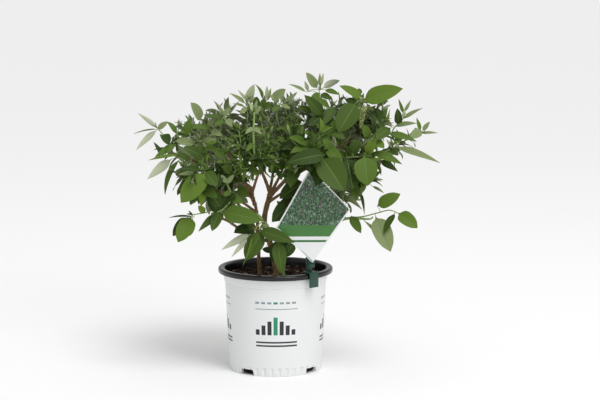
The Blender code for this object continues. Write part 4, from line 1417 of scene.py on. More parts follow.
SPRIGS = (
    Sprig("far_left", ((-146, -28, 326), (-166, -28, 351)), (
        (-166, -28, 351, -28, -2, 22, 7, PALE, UNDER), (-166, -28, 350, -34, -6, -6, 6, MID, LEVEL),
        (-167, -28, 349, -29, -14, -27, 9, YOUNG, UNDER, 0.8), (-166, -28, 350, 15, -4, 11, 9, YOUNG),
        (-157, -30, 343, 8, -12, -12, 14, DARK), (-157, -36, 311, -15, 2, 22, 7, DARK, FRONT, 0.6),
        (-140, -32, 329, -30, -14, -17, 11, MID), (-114, -22, 329, -28, -12, 5, 13, YOUNG),
    )),
    Sprig("far_left", ((-118, -36, 298), (-134, -40, 310)), (
        (-134, -40, 315, -45, -8, -7, 6, FRESH, SLANT), (-146, -40, 309, -34, -14, -27, 14, FELT, UNDER),
        (-134, -42, 309, -21, -16, -49, 13, DEEP, LEFT, 0.9), (-92, -32, 306, -37, -8, 20, 20, DEEP),
        (-129, -36, 303, -11, 2, 18, 7, YOUNG), (-120, -44, 308, -18, -6, 12, 9, DEEP),
    )),
    Sprig("left_upper", ((-76, 0, 322), (-94, -4, 347)), (
        (-89, -5, 348, -49, -17, 1, 11, MID, SLANT, 0.6), (-106, -4, 359, -14, -8, 27, 20, YOUNG, RIGHT),
        (-92, -4, 347, 16, -10, -9, 10, YOUNG), (-96, -4, 350, 12, -2, 15, 8, YOUNG),
    )),
    Sprig("left_upper", ((-96, -14, 318), (-129, -22, 335)), (
        (-129, -22, 338, 10, -2, 29, 12, MID), (-129, -22, 335, -17, -8, -9, 8, DEEP, SLANT),
        (-107, -20, 325, 19, -6, 12, 12, YOUNG), (-100, -24, 320, -2, -14, -21, 13, MID),
        (-87, -18, 322, 16, -12, -16, 12, MID),
    )),
    Sprig("top_left", ((-62, -6, 349), (-74, -8, 365)), (
        (-74, -8, 365, -27, -6, 2, 9.5, DEEP, SLANT), (-74, -8, 365, -4, 2, 14, 7, YOUNG),
        (-74, -8, 365, 10, 0, 14, 8, YOUNG), (-73, -8, 362, -14, -10, -9, 9, MID),
        (-71, -8, 362, 14, -10, -10, 10, YOUNG),
    )),
    Sprig("left_front", ((-86, -66, 285), (-99, -72, 295)), (
        (-98, -80, 294, -33, -16, -39, 30, FRESH, FRONT, 0.15),
        (-102, -72, 296, -35, -24, 5, 13, DARK, SLANT, 0.6), (-98, -72, 296, 16, -22, -19, 19, DEEP),
        (-111, -70, 292, -25, -10, 0, 8, YOUNG, SLANT),
    )),
    Sprig("left_front", ((-81, -60, 259), (-97, -66, 274)), (
        (-98, -68, 289, -6, -16, -41, 16.5, BRIGHT), (-92, -66, 266, 15, -18, -19, 20, DARK),
        (-79, -58, 290, -3, -14, -18, 14, DARK), (-75, -60, 259, -21, -14, 2, 18, DARK),
        (-69, -60, 250, 14, -12, 14, 14, DARK),
    )),
    Sprig("left_middle", ((-61, -40, 279), (-56, -44, 291)), (
        (-56, -42, 279, 20, -16, 0, 14, DEEP, SLANT), (-46, -40, 296, -4, -6, 11, 8, YOUNG),
        (-34, -40, 299, -16, -10, 5, 8, FRESH, SLANT), (-61, -44, 290, -14, -12, 11, 13, MID),
        (-53, -42, 268, 15, -14, -11, 15, MID), (-71, -40, 296, 6, -18, -23, 12, DEEP),
    )),
    Sprig("low_left", ((-61, -46, 221), (-81, -58, 238), (-100, -66, 236), (-116, -70, 234)), (
        (-114, -68, 230, -35, -16, 2, 8, DEEP, LEVEL), (-118, -70, 231, -18, -18, -33, 24, FRESH),
        (-123, -66, 230, -21, -6, -26, 16, DARK), (-116, -66, 227, -4, -4, -23, 11, BRIGHT),
        (-82, -60, 234, -26, -16, -23, 11, DEEP), (-78, -60, 238, -11, -18, -26, 16, DEEP),
        (-75, -66, 236, 56, -14, -9, 27, MID, FRONT, 0.7), (-43, -58, 236, 12, -16, -20, 15, DEEP),
        (-99, -66, 236, -9, -6, 11, 10, BRIGHT), (-79, -58, 237, -17, -10, 19, 16, DARK),
        (-78, -58, 240, 12, -8, 24, 16, DARK),
    )),
    Sprig("low_left", ((-75, -64, 240), (-61, -66, 257), (-68, -64, 277)), (
        (-61, -66, 257, 16, -8, -6, 11, MID), (-68, -64, 277, -8, 2, 13, 7, YOUNG),
        (-68, -64, 277, 10, 2, 13, 7, YOUNG), (-62, -66, 266, -11, -8, -5, 8, MID),
    )),
    Sprig("low_front", ((-10, -50, 215), (-19, -52, 221), (-33, -57, 206)), (
        (-29, -54, 211, -29, -22, -2, 23, DARK, SLANT), (-31, -57, 206, -45, -19, -21, 12, FELT, UNDER),
        (-36, -58, 200, -26, -16, -26, 8, FELT, UNDER), (-32, -57, 205, -14, -13, -44, 5, FRESH, RIGHT),
        (-19, -56, 208, -23, -8, -40, 26, DEEP, FRONT, 0.2), (-23, -58, 210, 50, -18, -15, 20, DEEP),
        (-18, -52, 221, -9, -2, 14, 6, YOUNG), (-18, -52, 219, 13, -8, -10, 6, YOUNG),
    )),
    Sprig("low_front", ((-8, -44, 208), (6, -50, 197)), (
        (3, -62, 197, 6, -8, -49, 20, DEEP, FRONT, 0.2), (26, -56, 191, -13, -6, -19, 15, DARK),
        (5, -46, 194, -9, 0, -32, 18, DARK), (-6, -30, 175, -13, -4, 4, 9, DARK),
        (16, -46, 194, -11, -4, -20, 16, DARK), (-13, -40, 183, 12, -4, -11, 9, DARK),
    )),
    Sprig("low_centre", ((21, -20, 226), (31, -24, 256)), (
        (41, -26, 274, -35, -20, -21, 25, DARK), (31, -26, 251, -36, -22, -31, 26, DARK),
        (11, -24, 236, -9, -2, 11, 7, FRESH), (21, -24, 241, -9, -16, -37, 22, DEEP),
    )),
    Sprig("front_right", ((51, -66, 322), (62, -74, 314)), (
        (65, -84, 316, 30, -34, -42, 40, DEEP, FRONT, 0.15),
        (69, -98, 322, -54, -14, -10, 24, DARK, FRONT, 0.9), (72, -72, 330, 22, -26, -22, 17, MID),
        (53, -70, 335, -33, -20, -12, 15, MID, SLANT), (60, -70, 325, -20, -14, 15, 13, DEEP),
        (81, -70, 325, -16, -14, 17, 13, MID), (71, -72, 311, -15, -24, -33, 22, DARK),
    )),
    Sprig("front_right", ((57, -56, 338), (77, -60, 349)), (
        (77, -62, 348, -20, -12, 14, 12, MID), (77, -62, 348, 20, -22, -6, 14, DEEP, SLANT),
        (75, -62, 347, -6, -22, -20, 13, DEEP), (78, -60, 351, 12, -4, 19, 10, MID),
        (60, -58, 339, -21, -16, 13, 11, MID),
    )),
    Sprig("right_front", ((102, -58, 312), (121, -66, 315)), (
        (124, -82, 318, 4, -20, -39, 33, MID, FRONT, 0.15),
        (100, -72, 314, 8, -20, -42, 36, DARK, FRONT, 0.15), (135, -58, 321, 42, -20, -15, 15, MID, SLANT),
        (147, -54, 309, 25, -12, -15, 11, DARK), (127, -62, 318, 14, -8, 25, 14, BRIGHT),
        (107, -62, 320, 11, -8, 19, 16, DEEP), (136, -54, 272, 17, -8, -9, 5, YOUNG, SLANT),
    )),
    Sprig("right_front", ((122, -54, 329), (136, -58, 339)), (
        (162, -50, 354, -28, -24, -16, 17, DEEP), (131, -56, 340, -7, -4, 20, 13, MID),
        (161, -48, 346, 37, -14, -10, 12, MID, SLANT), (137, -58, 339, 15, -16, -11, 14, FRESH),
    )),
    Sprig("upper_right", ((109, -24, 365), (120, -34, 389)), (
        (113, -52, 389, -25, -18, -40, 32, DEEP, FRONT, 0.2), (124, -36, 391, 55, -12, 18, 27, FRESH),
        (124, -30, 392, -34, -6, 20, 17, FRESH, SLANT), (120, -24, 398, -2, 4, 9, 8, MID, FRONT, 0.2),
        (134, -36, 376, 17, -22, -22, 13, DARK), (142, -34, 366, 21, -12, -11, 7, YOUNG),
        (115, -34, 387, -15, 2, 6, 10, DEEP, FRONT, 0.2), (137, -30, 380, 20, -10, -16, 10, DEEP),
    )),
    Sprig("top_right", ((71, -10, 352), (66, -14, 368)), (
        (68, -16, 367, -27, -10, 31, 18, DEEP), (78, -12, 378, -27, -8, 18, 12, MID, SLANT),
        (85, -12, 380, -19, -24, -26, 14, DEEP), (66, -16, 366, -20, -18, -11, 14, DARK),
        (68, -16, 364, 19, -16, -8, 13, DEEP), (52, -10, 372, -20, -10, 10, 10, DEEP),
    )),
    Sprig("top_right", ((63, 8, 370), (63, 12, 401)), (
        (60, 12, 404, -16, -4, 23, 13, YOUNG), (63, 12, 407, 1, 1, 19, 5, YOUNG, FRONT, 0.2),
        (65, 12, 407, 4, 0, 19, 5, PALE, FRONT, 0.2), (68, 10, 404, 24, -10, 12, 11, PALE, UNDER, 1.2),
        (71, 10, 402, 20, -14, -6, 10, MID, SLANT), (44, 8, 399, -25, -8, 12, 7, YOUNG, SLANT),
        (47, 10, 400, -5, -2, 15, 6, PALE), (63, 10, 397, -13, -14, -10, 10, MID),
        (65, 10, 396, 16, -14, -7, 10, DEEP), (61, 12, 396, 6, -10, -9, 5, PALE),
    )),
    Sprig("top_left", ((-40, -2, 360), (-39, 0, 383)), (
        (-42, 0, 383, -23, -8, 16, 8, YOUNG, SLANT), (-40, 0, 387, -13, -2, 16, 5, PALE),
        (-40, 0, 384, 10, -2, 27, 13, PALE), (-43, 0, 379, -18, -8, 5, 6, YOUNG, SLANT),
        (-37, 0, 383, 10, 0, 10, 6, PALE), (-27, -4, 379, 1, -4, 15, 11, DEEP),
        (-40, 0, 378, -10, -12, -8, 8, YOUNG), (-37, 0, 378, 10, -12, -7, 8, MID),
    )),
    Sprig("top_centre", ((-18, 6, 368), (-16, 6, 386)), (
        (-18, 6, 389, -11, -4, 22, 8, MID, RIGHT, 1), (-11, 6, 388, -1, 0, 20, 7, PALE),
        (-17, 2, 377, 0, -4, 14, 10, MID), (-10, 6, 388, 4, 0, 17, 5, YOUNG),
        (-15, 6, 383, 10, -12, -7, 8, DEEP), (-19, 6, 382, -10, -12, -7, 8, YOUNG),
    )),
    Sprig("top_centre", ((2, 4, 365), (8, 4, 384)), (
        (-5, 4, 388, 20, -4, 16, 13, YOUNG), (11, 4, 383, 19, -6, 14, 7, YOUNG, SLANT),
        (8, 4, 386, 5, 2, 17, 6, PALE), (4, 3, 384, -14, -1, 13, 7, YOUNG, SLANT),
        (8, 4, 382, 13, -12, -6, 8, YOUNG, SLANT), (7, 4, 381, -12, -12, -9, 8, MID),
    )),
    Sprig("front", ((-28, -78, 318), (-30, -84, 344), (-29, -84, 380)), (
        (-29, -84, 380, -7, -2, 14, 6, PALE), (-29, -84, 380, 4, -2, 18, 6, YOUNG, FRONT, 0.2),
        (-29, -84, 377, 11, -4, 11, 6, YOUNG), (-30, -84, 359, -12, -14, -8, 7, YOUNG),
        (-30, -84, 359, 12, -14, -9, 7, YOUNG), (-30, -82, 337, -11, -14, -11, 8, MID),
    ), 2),
    Sprig("right_tip", ((166, -8, 340), (172, -8, 352), (182, -8, 362)), (
        (184, -8, 372, 9, 0, 17, 5, YOUNG), (182, -8, 370, -7, -2, 21, 5, MID),
        (182, -8, 362, 28, -4, 16, 8, YOUNG, SLANT), (182, -8, 363, 2, 0, 15, 5, PALE, FRONT, 0.2),
        (176, -8, 353, -3, -8, 25, 12, DARK), (170, -8, 351, 31, -12, 6, 10, YOUNG, SLANT),
        (166, -8, 350, -12, -6, 16, 6, YOUNG), (160, -10, 356, -17, -8, 8, 6, MID),
    )),
    Sprig("right_tip", ((183, -8, 335), (208, -8, 341)), (
        (207, -8, 345, -6, 0, 19, 6, FRESH), (210, -8, 345, 10, 0, 13, 7, YOUNG),
        (208, -8, 341, 24, -4, 1, 6, YOUNG, SLANT), (208, -8, 345, -17, -14, -9, 14, YOUNG),
        (183, -8, 335, -21, -10, 7, 12, DEEP), (178, -8, 337, -11, -14, -12, 8, MID),
    )),
    Sprig("right_tip", ((156, -16, 316), (169, -18, 322)), (
        (170, -18, 323, 63, -16, -21, 13, YOUNG, SLANT), (166, -18, 322, -9, -4, 13, 5, PALE),
        (167, -18, 323, -4, -2, 14, 4, YOUNG), (163, -18, 320, 11, -12, -8, 9, DEEP),
    )),
    Sprig("front", ((-5, -20, 279), (5, -24, 291)), (
        (5, -26, 293, -15, -8, -3, 12, DARK), (5, -24, 292, 14, -8, 10, 9, DEEP),
        (4, -24, 291, 5, -12, -13, 9, MID),
    )),
    Sprig("right_low", (
        (106, -34, 224), (124, -38, 226), (145, -42, 232), (162, -44, 236), (176, -46, 231)
    ), (
        (144, -44, 242, 32, -12, 19, 19, FRESH), (174, -46, 232, 26, -16, -19, 21, FRESH, FRONT, 0.6),
        (142, -42, 226, 20, -28, -45, 28, YOUNG), (125, -38, 221, 36, -24, -39, 9, YOUNG, RIGHT),
        (169, -46, 232, -16, -18, -27, 15, DEEP, LEFT), (107, -36, 227, 14, -14, -23, 14, MID),
    )),
    Sprig("right_low", ((96, -26, 254), (109, -28, 258), (119, -30, 263)), (
        (119, -30, 263, 7, -12, -34, 8, DARK, RIGHT), (95, -28, 256, 28, -12, -20, 9, YOUNG, SLANT, 0.6),
    )),
    Sprig("back", ((-6, 112, 318), (-4, 134, 334)), (
        (-4, 134, 334, -6, 33, 12, 20, FRESH, LEVEL, 0.6), (-4, 132, 334, 34, 18, -4, 18, MID, LEVEL, 0.6),
        (-4, 132, 334, -34, 20, -12, 18, MID, LEVEL, 0.6), (-4, 130, 332, 2, 22, -26, 20, DEEP, REAR),
        (-4, 134, 336, 6, 12, 22, 9, YOUNG, REAR),
    )),
    Sprig("back_left", ((-78, 104, 306), (-92, 124, 318)), (
        (-92, 124, 318, -16, 34, 4, 20, FRESH, LEVEL, 0.6),
        (-92, 122, 318, -34, 10, -10, 18, MID, LEVEL, 0.6), (-90, 122, 318, 26, 28, 4, 18, DEEP, LEVEL, 0.6),
        (-92, 122, 316, 0, 24, -24, 22, MID, REAR), (-92, 124, 318, -4, 12, 26, 9, YOUNG, REAR),
    )),
    Sprig("back_right", ((80, 106, 306), (92, 126, 318)), (
        (92, 126, 318, 12, 38, 8, 20, FRESH, LEVEL, 0.6), (92, 124, 318, 36, 12, -4, 18, MID, LEVEL, 0.6),
        (90, 124, 318, -24, 28, -2, 18, DEEP, LEVEL, 0.6), (92, 124, 316, 2, 24, -24, 22, MID, REAR),
        (92, 126, 320, 6, 12, 24, 9, YOUNG, REAR),
    )),
)


@dataclass(frozen=True)
class Leaf:
    """One leaf as it is meshed: its place, its three directions, its size and its colour."""

    root: Vector
    way: Vector
    face: Vector
    length: float
    breadth: float
    bend: float
    fold: float
    twist: float
    tone: Tone
    grade: Grade


@dataclass
class LeafPile:
    """Leaves gathered for one joined mesh."""

    thickness: float = 0.35
    # The length from which a leaf is that thick, and the least share of it.
    thick_from: float = 30.0
    thin_share: float = 0.5
    quilt: float = 0.0075
    least_bend: float = 0.02
    # Where along its length a leaf isn't twisted.
    twist_from: float = 0.3
    leaves: list[Leaf] = field(default_factory=list)

    def mesh_grade(self, grade: Grade, first: int) -> tuple[np.ndarray, np.ndarray, np.ndarray]:
        """Mesh all the leaves of one grade, each a closed shell of an upper and an under face.

        Args:
            grade: The grade.
            first: The number of points that come before these in the joined mesh.

        Returns:
            The points, the three-cornered faces, and their slots.
        """
        leaves = [leaf for leaf in self.leaves if leaf.grade is grade]
        if not leaves:
            return np.empty((0, 3)), np.empty((0, 3), int), np.empty(0, int)
        places, columns = (np.array(part) for part in grade.value)
        keys = ("root", "way", "face", "length", "breadth", "bend", "fold", "twist")
        root, way, face, length, breadth, bend, fold, twist = (
            np.array([getattr(leaf, key) for leaf in leaves], float) for key in keys
        )
        sideways = np.cross(face, way)
        bend = np.where(np.abs(bend) < self.least_bend, self.least_bend, bend)[:, None]
        angle = bend * (places[None] - 0.5)
        arc = length[:, None] * (bend / 2) / np.sin(bend / 2)
        ahead = arc * (np.sin(angle) + np.sin(bend / 2)) / bend
        drop = arc * (np.cos(angle) - np.cos(bend / 2)) / bend
        spine = root[:, None] + way[:, None] * ahead[..., None] + face[:, None] * drop[..., None]
        normal = face[:, None] * np.cos(angle)[..., None] + way[:, None] * np.sin(angle)[..., None]
        roll = twist[:, None] * (places[None] - self.twist_from)
        side = sideways[:, None] * np.cos(roll)[..., None] + normal * np.sin(roll)[..., None]
        normal = normal * np.cos(roll)[..., None] - sideways[:, None] * np.sin(roll)[..., None]
        roundness = np.clip((breadth / length - LANCE_LIMIT) / (OVAL_LIMIT - LANCE_LIMIT), 0, 1)[:, None]
        lance, oval = (np.interp(places, OUTLINE_PLACES, shares) for shares in (LANCE_SHARES, OVAL_SHARES))
        half = breadth[:, None] / 2 * (lance + (oval - lance) * roundness)
        out = half[..., None, None] * columns[:, None]
        lift = np.abs(out) * np.sin(fold)[:, None, None, None]
        waves = np.where(np.arange(len(places)) % 2 == 0, 1.0, -1.0) * self.quilt
        quilted = waves[:, None] * length[:, None, None] * (np.abs(columns) == RIB)
        grid = spine[:, :, None] + side[:, :, None] * out * np.cos(fold)[:, None, None, None]
        grid = grid + normal[:, :, None] * (lift + quilted[..., None])
        rows, cols = len(places), len(columns)
        inner = np.zeros((rows, cols), bool)
        inner[1:-1, 1:-1] = True
        share = np.clip(length / self.thick_from, self.thin_share, 1)[:, None, None, None]
        thick = self.thickness * share / 2
        upper = grid + normal[:, :, None] * thick * inner[..., None]
        under = (grid - normal[:, :, None] * thick)[:, inner]
        points = np.concatenate([upper.reshape(len(leaves), -1, 3), under], 1)
        top = np.arange(rows * cols).reshape(rows, cols)
        low = top.copy()
        low[inner] = rows * cols + np.arange(inner.sum())
        sheets = []
        for sheet, turned in ((top, False), (low, True)):
            # Both sheets are split along the same diagonal, so that neither pokes through the other.
            near, far = sheet[:-1, :-1], sheet[1:, 1:]
            halves = [np.stack([near, sheet[1:, :-1], far], -1), np.stack([near, far, sheet[:-1, 1:]], -1)]
            corners = np.stack(halves, 2).reshape(-1, 3)
            sheets.append(corners[:, ::-1] if turned else corners)
        count = points.shape[1]
        faces = np.concatenate(sheets)[None] + first + count * np.arange(len(leaves))[:, None, None]
        number = len(sheets[0])
        pairs = [(leaf.tone, FELT if leaf.tone in YOUNG_TONES else UNDERSIDE) for leaf in leaves]
        slots = np.array([[TONES.index(tone) for tone in pair] for pair in pairs]).repeat(number, 1)
        if grade is Grade.LARGE:
            middle = np.tile(np.repeat(np.arange(cols - 1) == (cols - 1) // 2, 2), rows - 1)
            slots[:, :number][:, middle] = TONES.index(VEIN)
        return points.reshape(-1, 3), faces.reshape(-1, 3), slots.reshape(-1)

    def object(self, name: str) -> Object:
        """Make the joined object of this name."""
        points, rows, first = [], [], 0
        for grade in Grade:
            made, faces, slots = self.mesh_grade(grade, first)
            points.append(made)
            rows.append((faces, slots))
            first += len(made)
        return array_object(name, np.concatenate(points), rows, [tone.value for tone in TONES], 70)


@dataclass
class Foliage:
    """The leafy masses, grown by the plain model's rule and carried on to finer twigs.

    Attributes:
        wood: The stems and boughs that carry them.
        name: The mass that is being grown.
        dice: The random numbers of the spray that is being grown.
    """

    wood: Wood
    name: str = ""
    dice: random.Random = field(default_factory=random.Random)
    joint_gap: float = 0.3
    stem_radii: Pair = (2.0, 1.1)
    shoot_radii: Pair = (1.15, 0.6)
    sprig_radii: Pair = (0.75, 0.4)
    stalk_radius: float = 0.45
    stem_pull: float = 0.35
    stem_rise: float = 0.2
    first_shoot: float = 0.12
    last_shoot: float = 0.97
    shoot_pull: float = 0.4
    shoot_finish: float = 0.3
    shoot_rise: float = 0.6
    fan_jitter: float = 0.6
    fan_outward: float = 0.55
    fill_outward: float = 0.1
    fan_stretch: Pair = (0.8, 1.05)
    fill_least: float = 0.55
    crown_middle: Point = (0, 0, 265)
    path_steps: int = 9
    # Where a twig's leaf joints start and how far they go on, as shares of its length.
    first_joint: float = 0.16
    joint_span: float = 0.82
    # The size of the last pair and of the one before it, against a grown leaf.
    last_growth: float = 0.62
    late_growth: float = 0.82
    tuft_chance: float = 0.2
    leaf_lean: float = 58.0
    tuft_lean: float = 26.0
    sprig_lean: float = 44.0
    sprig_reach: Pair = (14, 27)
    sprig_least: float = 8.0
    lean_jitter: float = 0.2
    turn_jitter: float = 0.3
    leaf_droop: float = 0.3
    bends: Pair = (0.3, 1.3)
    folds: Pair = (0.1, 0.5)
    twists: Pair = (-0.7, 0.7)
    # How a leaf's length and breadth vary, and the breadth of a last pair.
    lengths: Pair = (0.85, 1.12)
    breadths: Pair = (0.85, 1.1)
    tuft_breadth: float = 0.8
    # How much a leaf's face looks up, outwards and along its twig.
    face_pulls: Point = (0.6, 0.6, 0.3)
    # The lengths from which a leaf is of a medium and of a large grade.
    medium_from: float = 15.0
    large_from: float = 30.0
    sprig_large_from: float = 22.0
    # A side sprig's leaves against its shoot's, how much it rises, and each cut where it doesn't fit.
    sprig_leaf: float = 0.66
    sprig_rise: float = 0.25
    sprig_cut: float = 0.75
    # A tuft's leaves: their breadth, and how their turn, lean and length vary.
    tuft_slim: float = 0.36
    tuft_turns: Pair = (0, 1.2)
    tuft_leans: Pair = (0.2, 0.6)
    tuft_sizes: Pair = (0.7, 1.2)
    # A spray's leaves: how much a stalk bows, and how their fold and twist vary.
    stalk_bow: float = 0.12
    spray_folds: Pair = (0.1, 0.3)
    spray_twists: Pair = (-0.35, 0.35)
    nearly_level: float = 0.9
    lowest_leaf: float = 151.0
    label_front: float = -50.0
    label_top: float = 282.0
    overlap: float = 9.0
    label: LabelCard = field(default_factory=LabelCard)
    woody: Tubes = field(default_factory=Tubes)
    green: Tubes = field(default_factory=Tubes)
    pile: LeafPile = field(default_factory=LeafPile)

    def stem_line(self) -> list[Vector]:
        """Draw the mass's own stem, from its limb's tip to its heart."""
        mass = MASSES[self.name]
        limb = self.wood.coarse[mass.limb]
        run = (limb[-1] - limb[-2]).normalized()
        start = limb[-1] + run * self.joint_gap
        heart = Vector(mass.heart)
        reach = (heart - start).length
        leave = start + run * reach * self.stem_pull
        arrive = heart - UP * reach * self.stem_rise
        return interpolate_bezier(start - run, leave, arrive, heart, self.path_steps)

    def fan_tips(self, count: int, lean: float, stretch: Pair) -> Iterator[Vector]:
        """Spread tips evenly round the mass, by a golden-angle spiral.

        Args:
            count: The number of tips.
            lean: How much they are drawn to the mass's outer side.
            stretch: The least and greatest share of the mass's reach.

        Yields:
            The tips.
        """
        mass = MASSES[self.name]
        heart = Vector(mass.heart)
        outward = (heart - Vector(self.crown_middle)).normalized()
        dice = random.Random(f"leaves_{self.name} {count} {lean}")
        for i in range(count):
            height = 1 - 2 * (i + 0.5) / count
            angle = i * GOLDEN_ANGLE + dice.uniform(0, self.fan_jitter)
            ring = math.sqrt(1 - height * height)
            way = Vector((ring * math.cos(angle), ring * math.sin(angle), height)) + outward * lean
            way.normalize()
            reach = dice.uniform(*stretch)
            yield heart + Vector([side * part * reach for side, part in zip(mass.reach, way)])

    def shoot_tips(self) -> list[Vector]:
        """List the tips of the mass's shoots, the rule's fanned ones first."""
        habit = MASSES[self.name].habit
        fans = list(self.fan_tips(MASSES[self.name].shoots, self.fan_outward, self.fan_stretch))[: habit.fans]
        fills = self.fan_tips(habit.fills, self.fill_outward, (self.fill_least, habit.spread))
        return [*fans, *fills]

    def shoot_path(self, start: Vector, heading: Vector, tip: Vector, steps: int) -> list[Vector]:
        """Draw a shoot that leaves along a heading and turns up towards its tip.

        Args:
            start: Where it leaves.
            heading: The direction of the stem there.
            tip: Its tip.
            steps: The number of points.

        Returns:
            The shoot's line.
        """
        reach = (tip - start).length
        way = (tip - start) / reach
        finish = (way + UP * self.shoot_rise).normalized()
        leave = start + (heading + way).normalized() * reach * self.shoot_pull
        arrive = tip - finish * reach * self.shoot_finish
        return interpolate_bezier(start, leave, arrive, tip, steps)

    def fits(self, place: Vector, slack: float) -> bool:
        """Say whether a place lies in the mass's own space.

        Args:
            place: The place.
            slack: How far into a neighbour's space it may reach.

        Returns:
            Whether it does.
        """
        hides_label = place.y < self.label_front and place.z < self.label_top and self.label.inside(place, -3)
        low, high = (Vector(corner) / MM for corner in model_box)
        in_box = all(low[i] + 1 < place[i] < high[i] - 1 for i in range(3))
        if place.z < self.lowest_leaf or hides_label or not in_box:
            return False
        heart = Vector(MASSES[self.name].heart)
        for other, mass in MASSES.items():
            if other != self.name:
                away = Vector(mass.heart) - heart
                if (place - heart - away / 2).dot(away.normalized()) > slack:
                    return False
        return True

    def add_leaf(
        self, root: Vector, way: Vector, face: Vector, length: float, breadth: float, tone: Tone
    ) -> None:
        """Add one leaf of the rule where it fits.

        Args:
            root: Where it leaves its twig.
            way: Its direction.
            face: Where its upper face looks.
            length: Its length.
            breadth: Its breadth as a share of its length.
            tone: The colour of its upper face.
        """
        bend, fold, twist = (self.dice.uniform(*pair) for pair in (self.bends, self.folds, self.twists))
        if self.fits(root + way * length, self.overlap):
            small = Grade.MEDIUM if length > self.medium_from else Grade.SMALL
            grade = Grade.LARGE if length > self.large_from else small
            face, breadth = across(face, way), length * breadth
            self.pile.leaves.append(Leaf(root, way, face, length, breadth, bend, fold, twist, tone, grade))

    def leaf_way(
        self, point: Vector, along: Vector, turn: float, lean: float, droop: float = 0.0
    ) -> tuple[Vector, Vector]:
        """Give a leaf's direction and its face, as the plain model does.

        Args:
            point: Where it sits.
            along: The twig's direction there.
            turn: The leaf's turn round the twig.
            lean: Its lean from the twig.
            droop: How much it hangs.

        Returns:
            Its direction and its face.
        """
        side = across(UP if abs(along.x) > self.nearly_level else SIDEWAYS, along)
        out = Matrix.Rotation(turn, 3, along) @ side
        way = (along * math.cos(lean) + out * math.sin(lean) - UP * droop).normalized()
        outward = Vector((point.x * 0.45, point.y, 0)).normalized()
        rise, push, run = self.face_pulls
        return way, UP * rise + outward * push + along * run

    def clothe(
        self,
        path: Sequence[Vector],
        leaf: float,
        turn: float,
        tone: Tone,
        side: bool = False,
        spread: bool = False,
    ) -> None:
        """Set pairs of leaves along a twig, crossed from joint to joint, with tufts and side sprigs.

        Args:
            path: The twig's line.
            leaf: The length of a grown leaf.
            turn: The turn of the first pair.
            tone: The spray's tone.
            side: Whether the twig is a side sprig.
            spread: Whether it ends in a spread pair and not in a tuft.
        """
        habit, dice = MASSES[self.name].habit, self.dice
        joints = max(1 if side else 2, round(path_length(path) / habit.joint))
        for k in range(joints + 1):
            point, along = point_along(path, self.first_joint + self.joint_span * k / joints)
            last = k == joints and not spread
            growth = self.last_growth if last else self.late_growth if k == joints - 1 and not spread else 1.0
            shade = self.paler(tone) if last or (k >= joints - 1 and side) else tone
            for half in (0, 1):
                angle = turn + k * math.pi / 2 + half * math.pi + dice.uniform(-1, 1) * self.turn_jitter
                lean = math.radians(self.tuft_lean if last else self.leaf_lean)
                lean += dice.uniform(-1, 1) * self.lean_jitter
                way, face = self.leaf_way(point, along, angle, lean, 0 if last else self.leaf_droop)
                size = leaf * growth * dice.uniform(*self.lengths)
                slim = habit.breadth * (self.tuft_breadth if last else dice.uniform(*self.breadths))
                self.add_leaf(point, way, face, size, slim, shade)
                if not side and not last and dice.random() < habit.sprigs:
                    self.side_sprig(point, along, angle, leaf, tone)
                elif dice.random() < self.tuft_chance:
                    self.tuft(point, (along + way * 0.8).normalized(), leaf * 0.3, 2)
            if last:
                self.tuft(point, along, leaf * 0.4, 3)

    def side_sprig(self, point: Vector, along: Vector, turn: float, leaf: float, tone: Tone) -> None:
        """Grow a short leafy sprig from a leaf joint.

        Args:
            point: Where it leaves.
            along: The shoot's direction there.
            turn: Its turn round the shoot.
            leaf: The length of the shoot's leaves.
            tone: The shoot's tone.
        """
        way, _ = self.leaf_way(point, along, turn, math.radians(self.sprig_lean))
        reach = self.dice.uniform(*self.sprig_reach)
        while reach > self.sprig_least and not self.fits(point + way * reach, 2):
            reach *= self.sprig_cut
        path = self.shoot_path(point, way, point + way * reach + UP * reach * self.sprig_rise, 5)
        self.green.sweep(path, np.linspace(*self.sprig_radii, 5), 5)
        self.clothe(path, leaf * self.sprig_leaf, turn + math.pi / 2, self.paler(tone), side=True)

    def tuft(self, point: Vector, along: Vector, leaf: float, count: int) -> None:
        """Set a few of the smallest leaves upright round a point.

        Args:
            point: Where they sit.
            along: The direction they point round.
            leaf: Their length.
            count: Their number.
        """
        for i in range(count):
            angle = i * math.tau / count + self.dice.uniform(*self.tuft_turns)
            way, face = self.leaf_way(point, along, angle, self.dice.uniform(*self.tuft_leans))
            tone = self.dice.choice((MID, MID, YOUNG))
            size = leaf * self.dice.uniform(*self.tuft_sizes)
            self.add_leaf(point, way, face, size, self.tuft_slim, tone)

    def paler(self, tone: Tone) -> Tone:
        """Pick the next paler tone, or the same one."""
        order = (DARK, DEEP, MID, FRESH, YOUNG, PALE)
        place = order.index(tone) if tone in order else 3
        return order[min(place + self.dice.choice((0, 1, 1, 2)), len(order) - 1)]

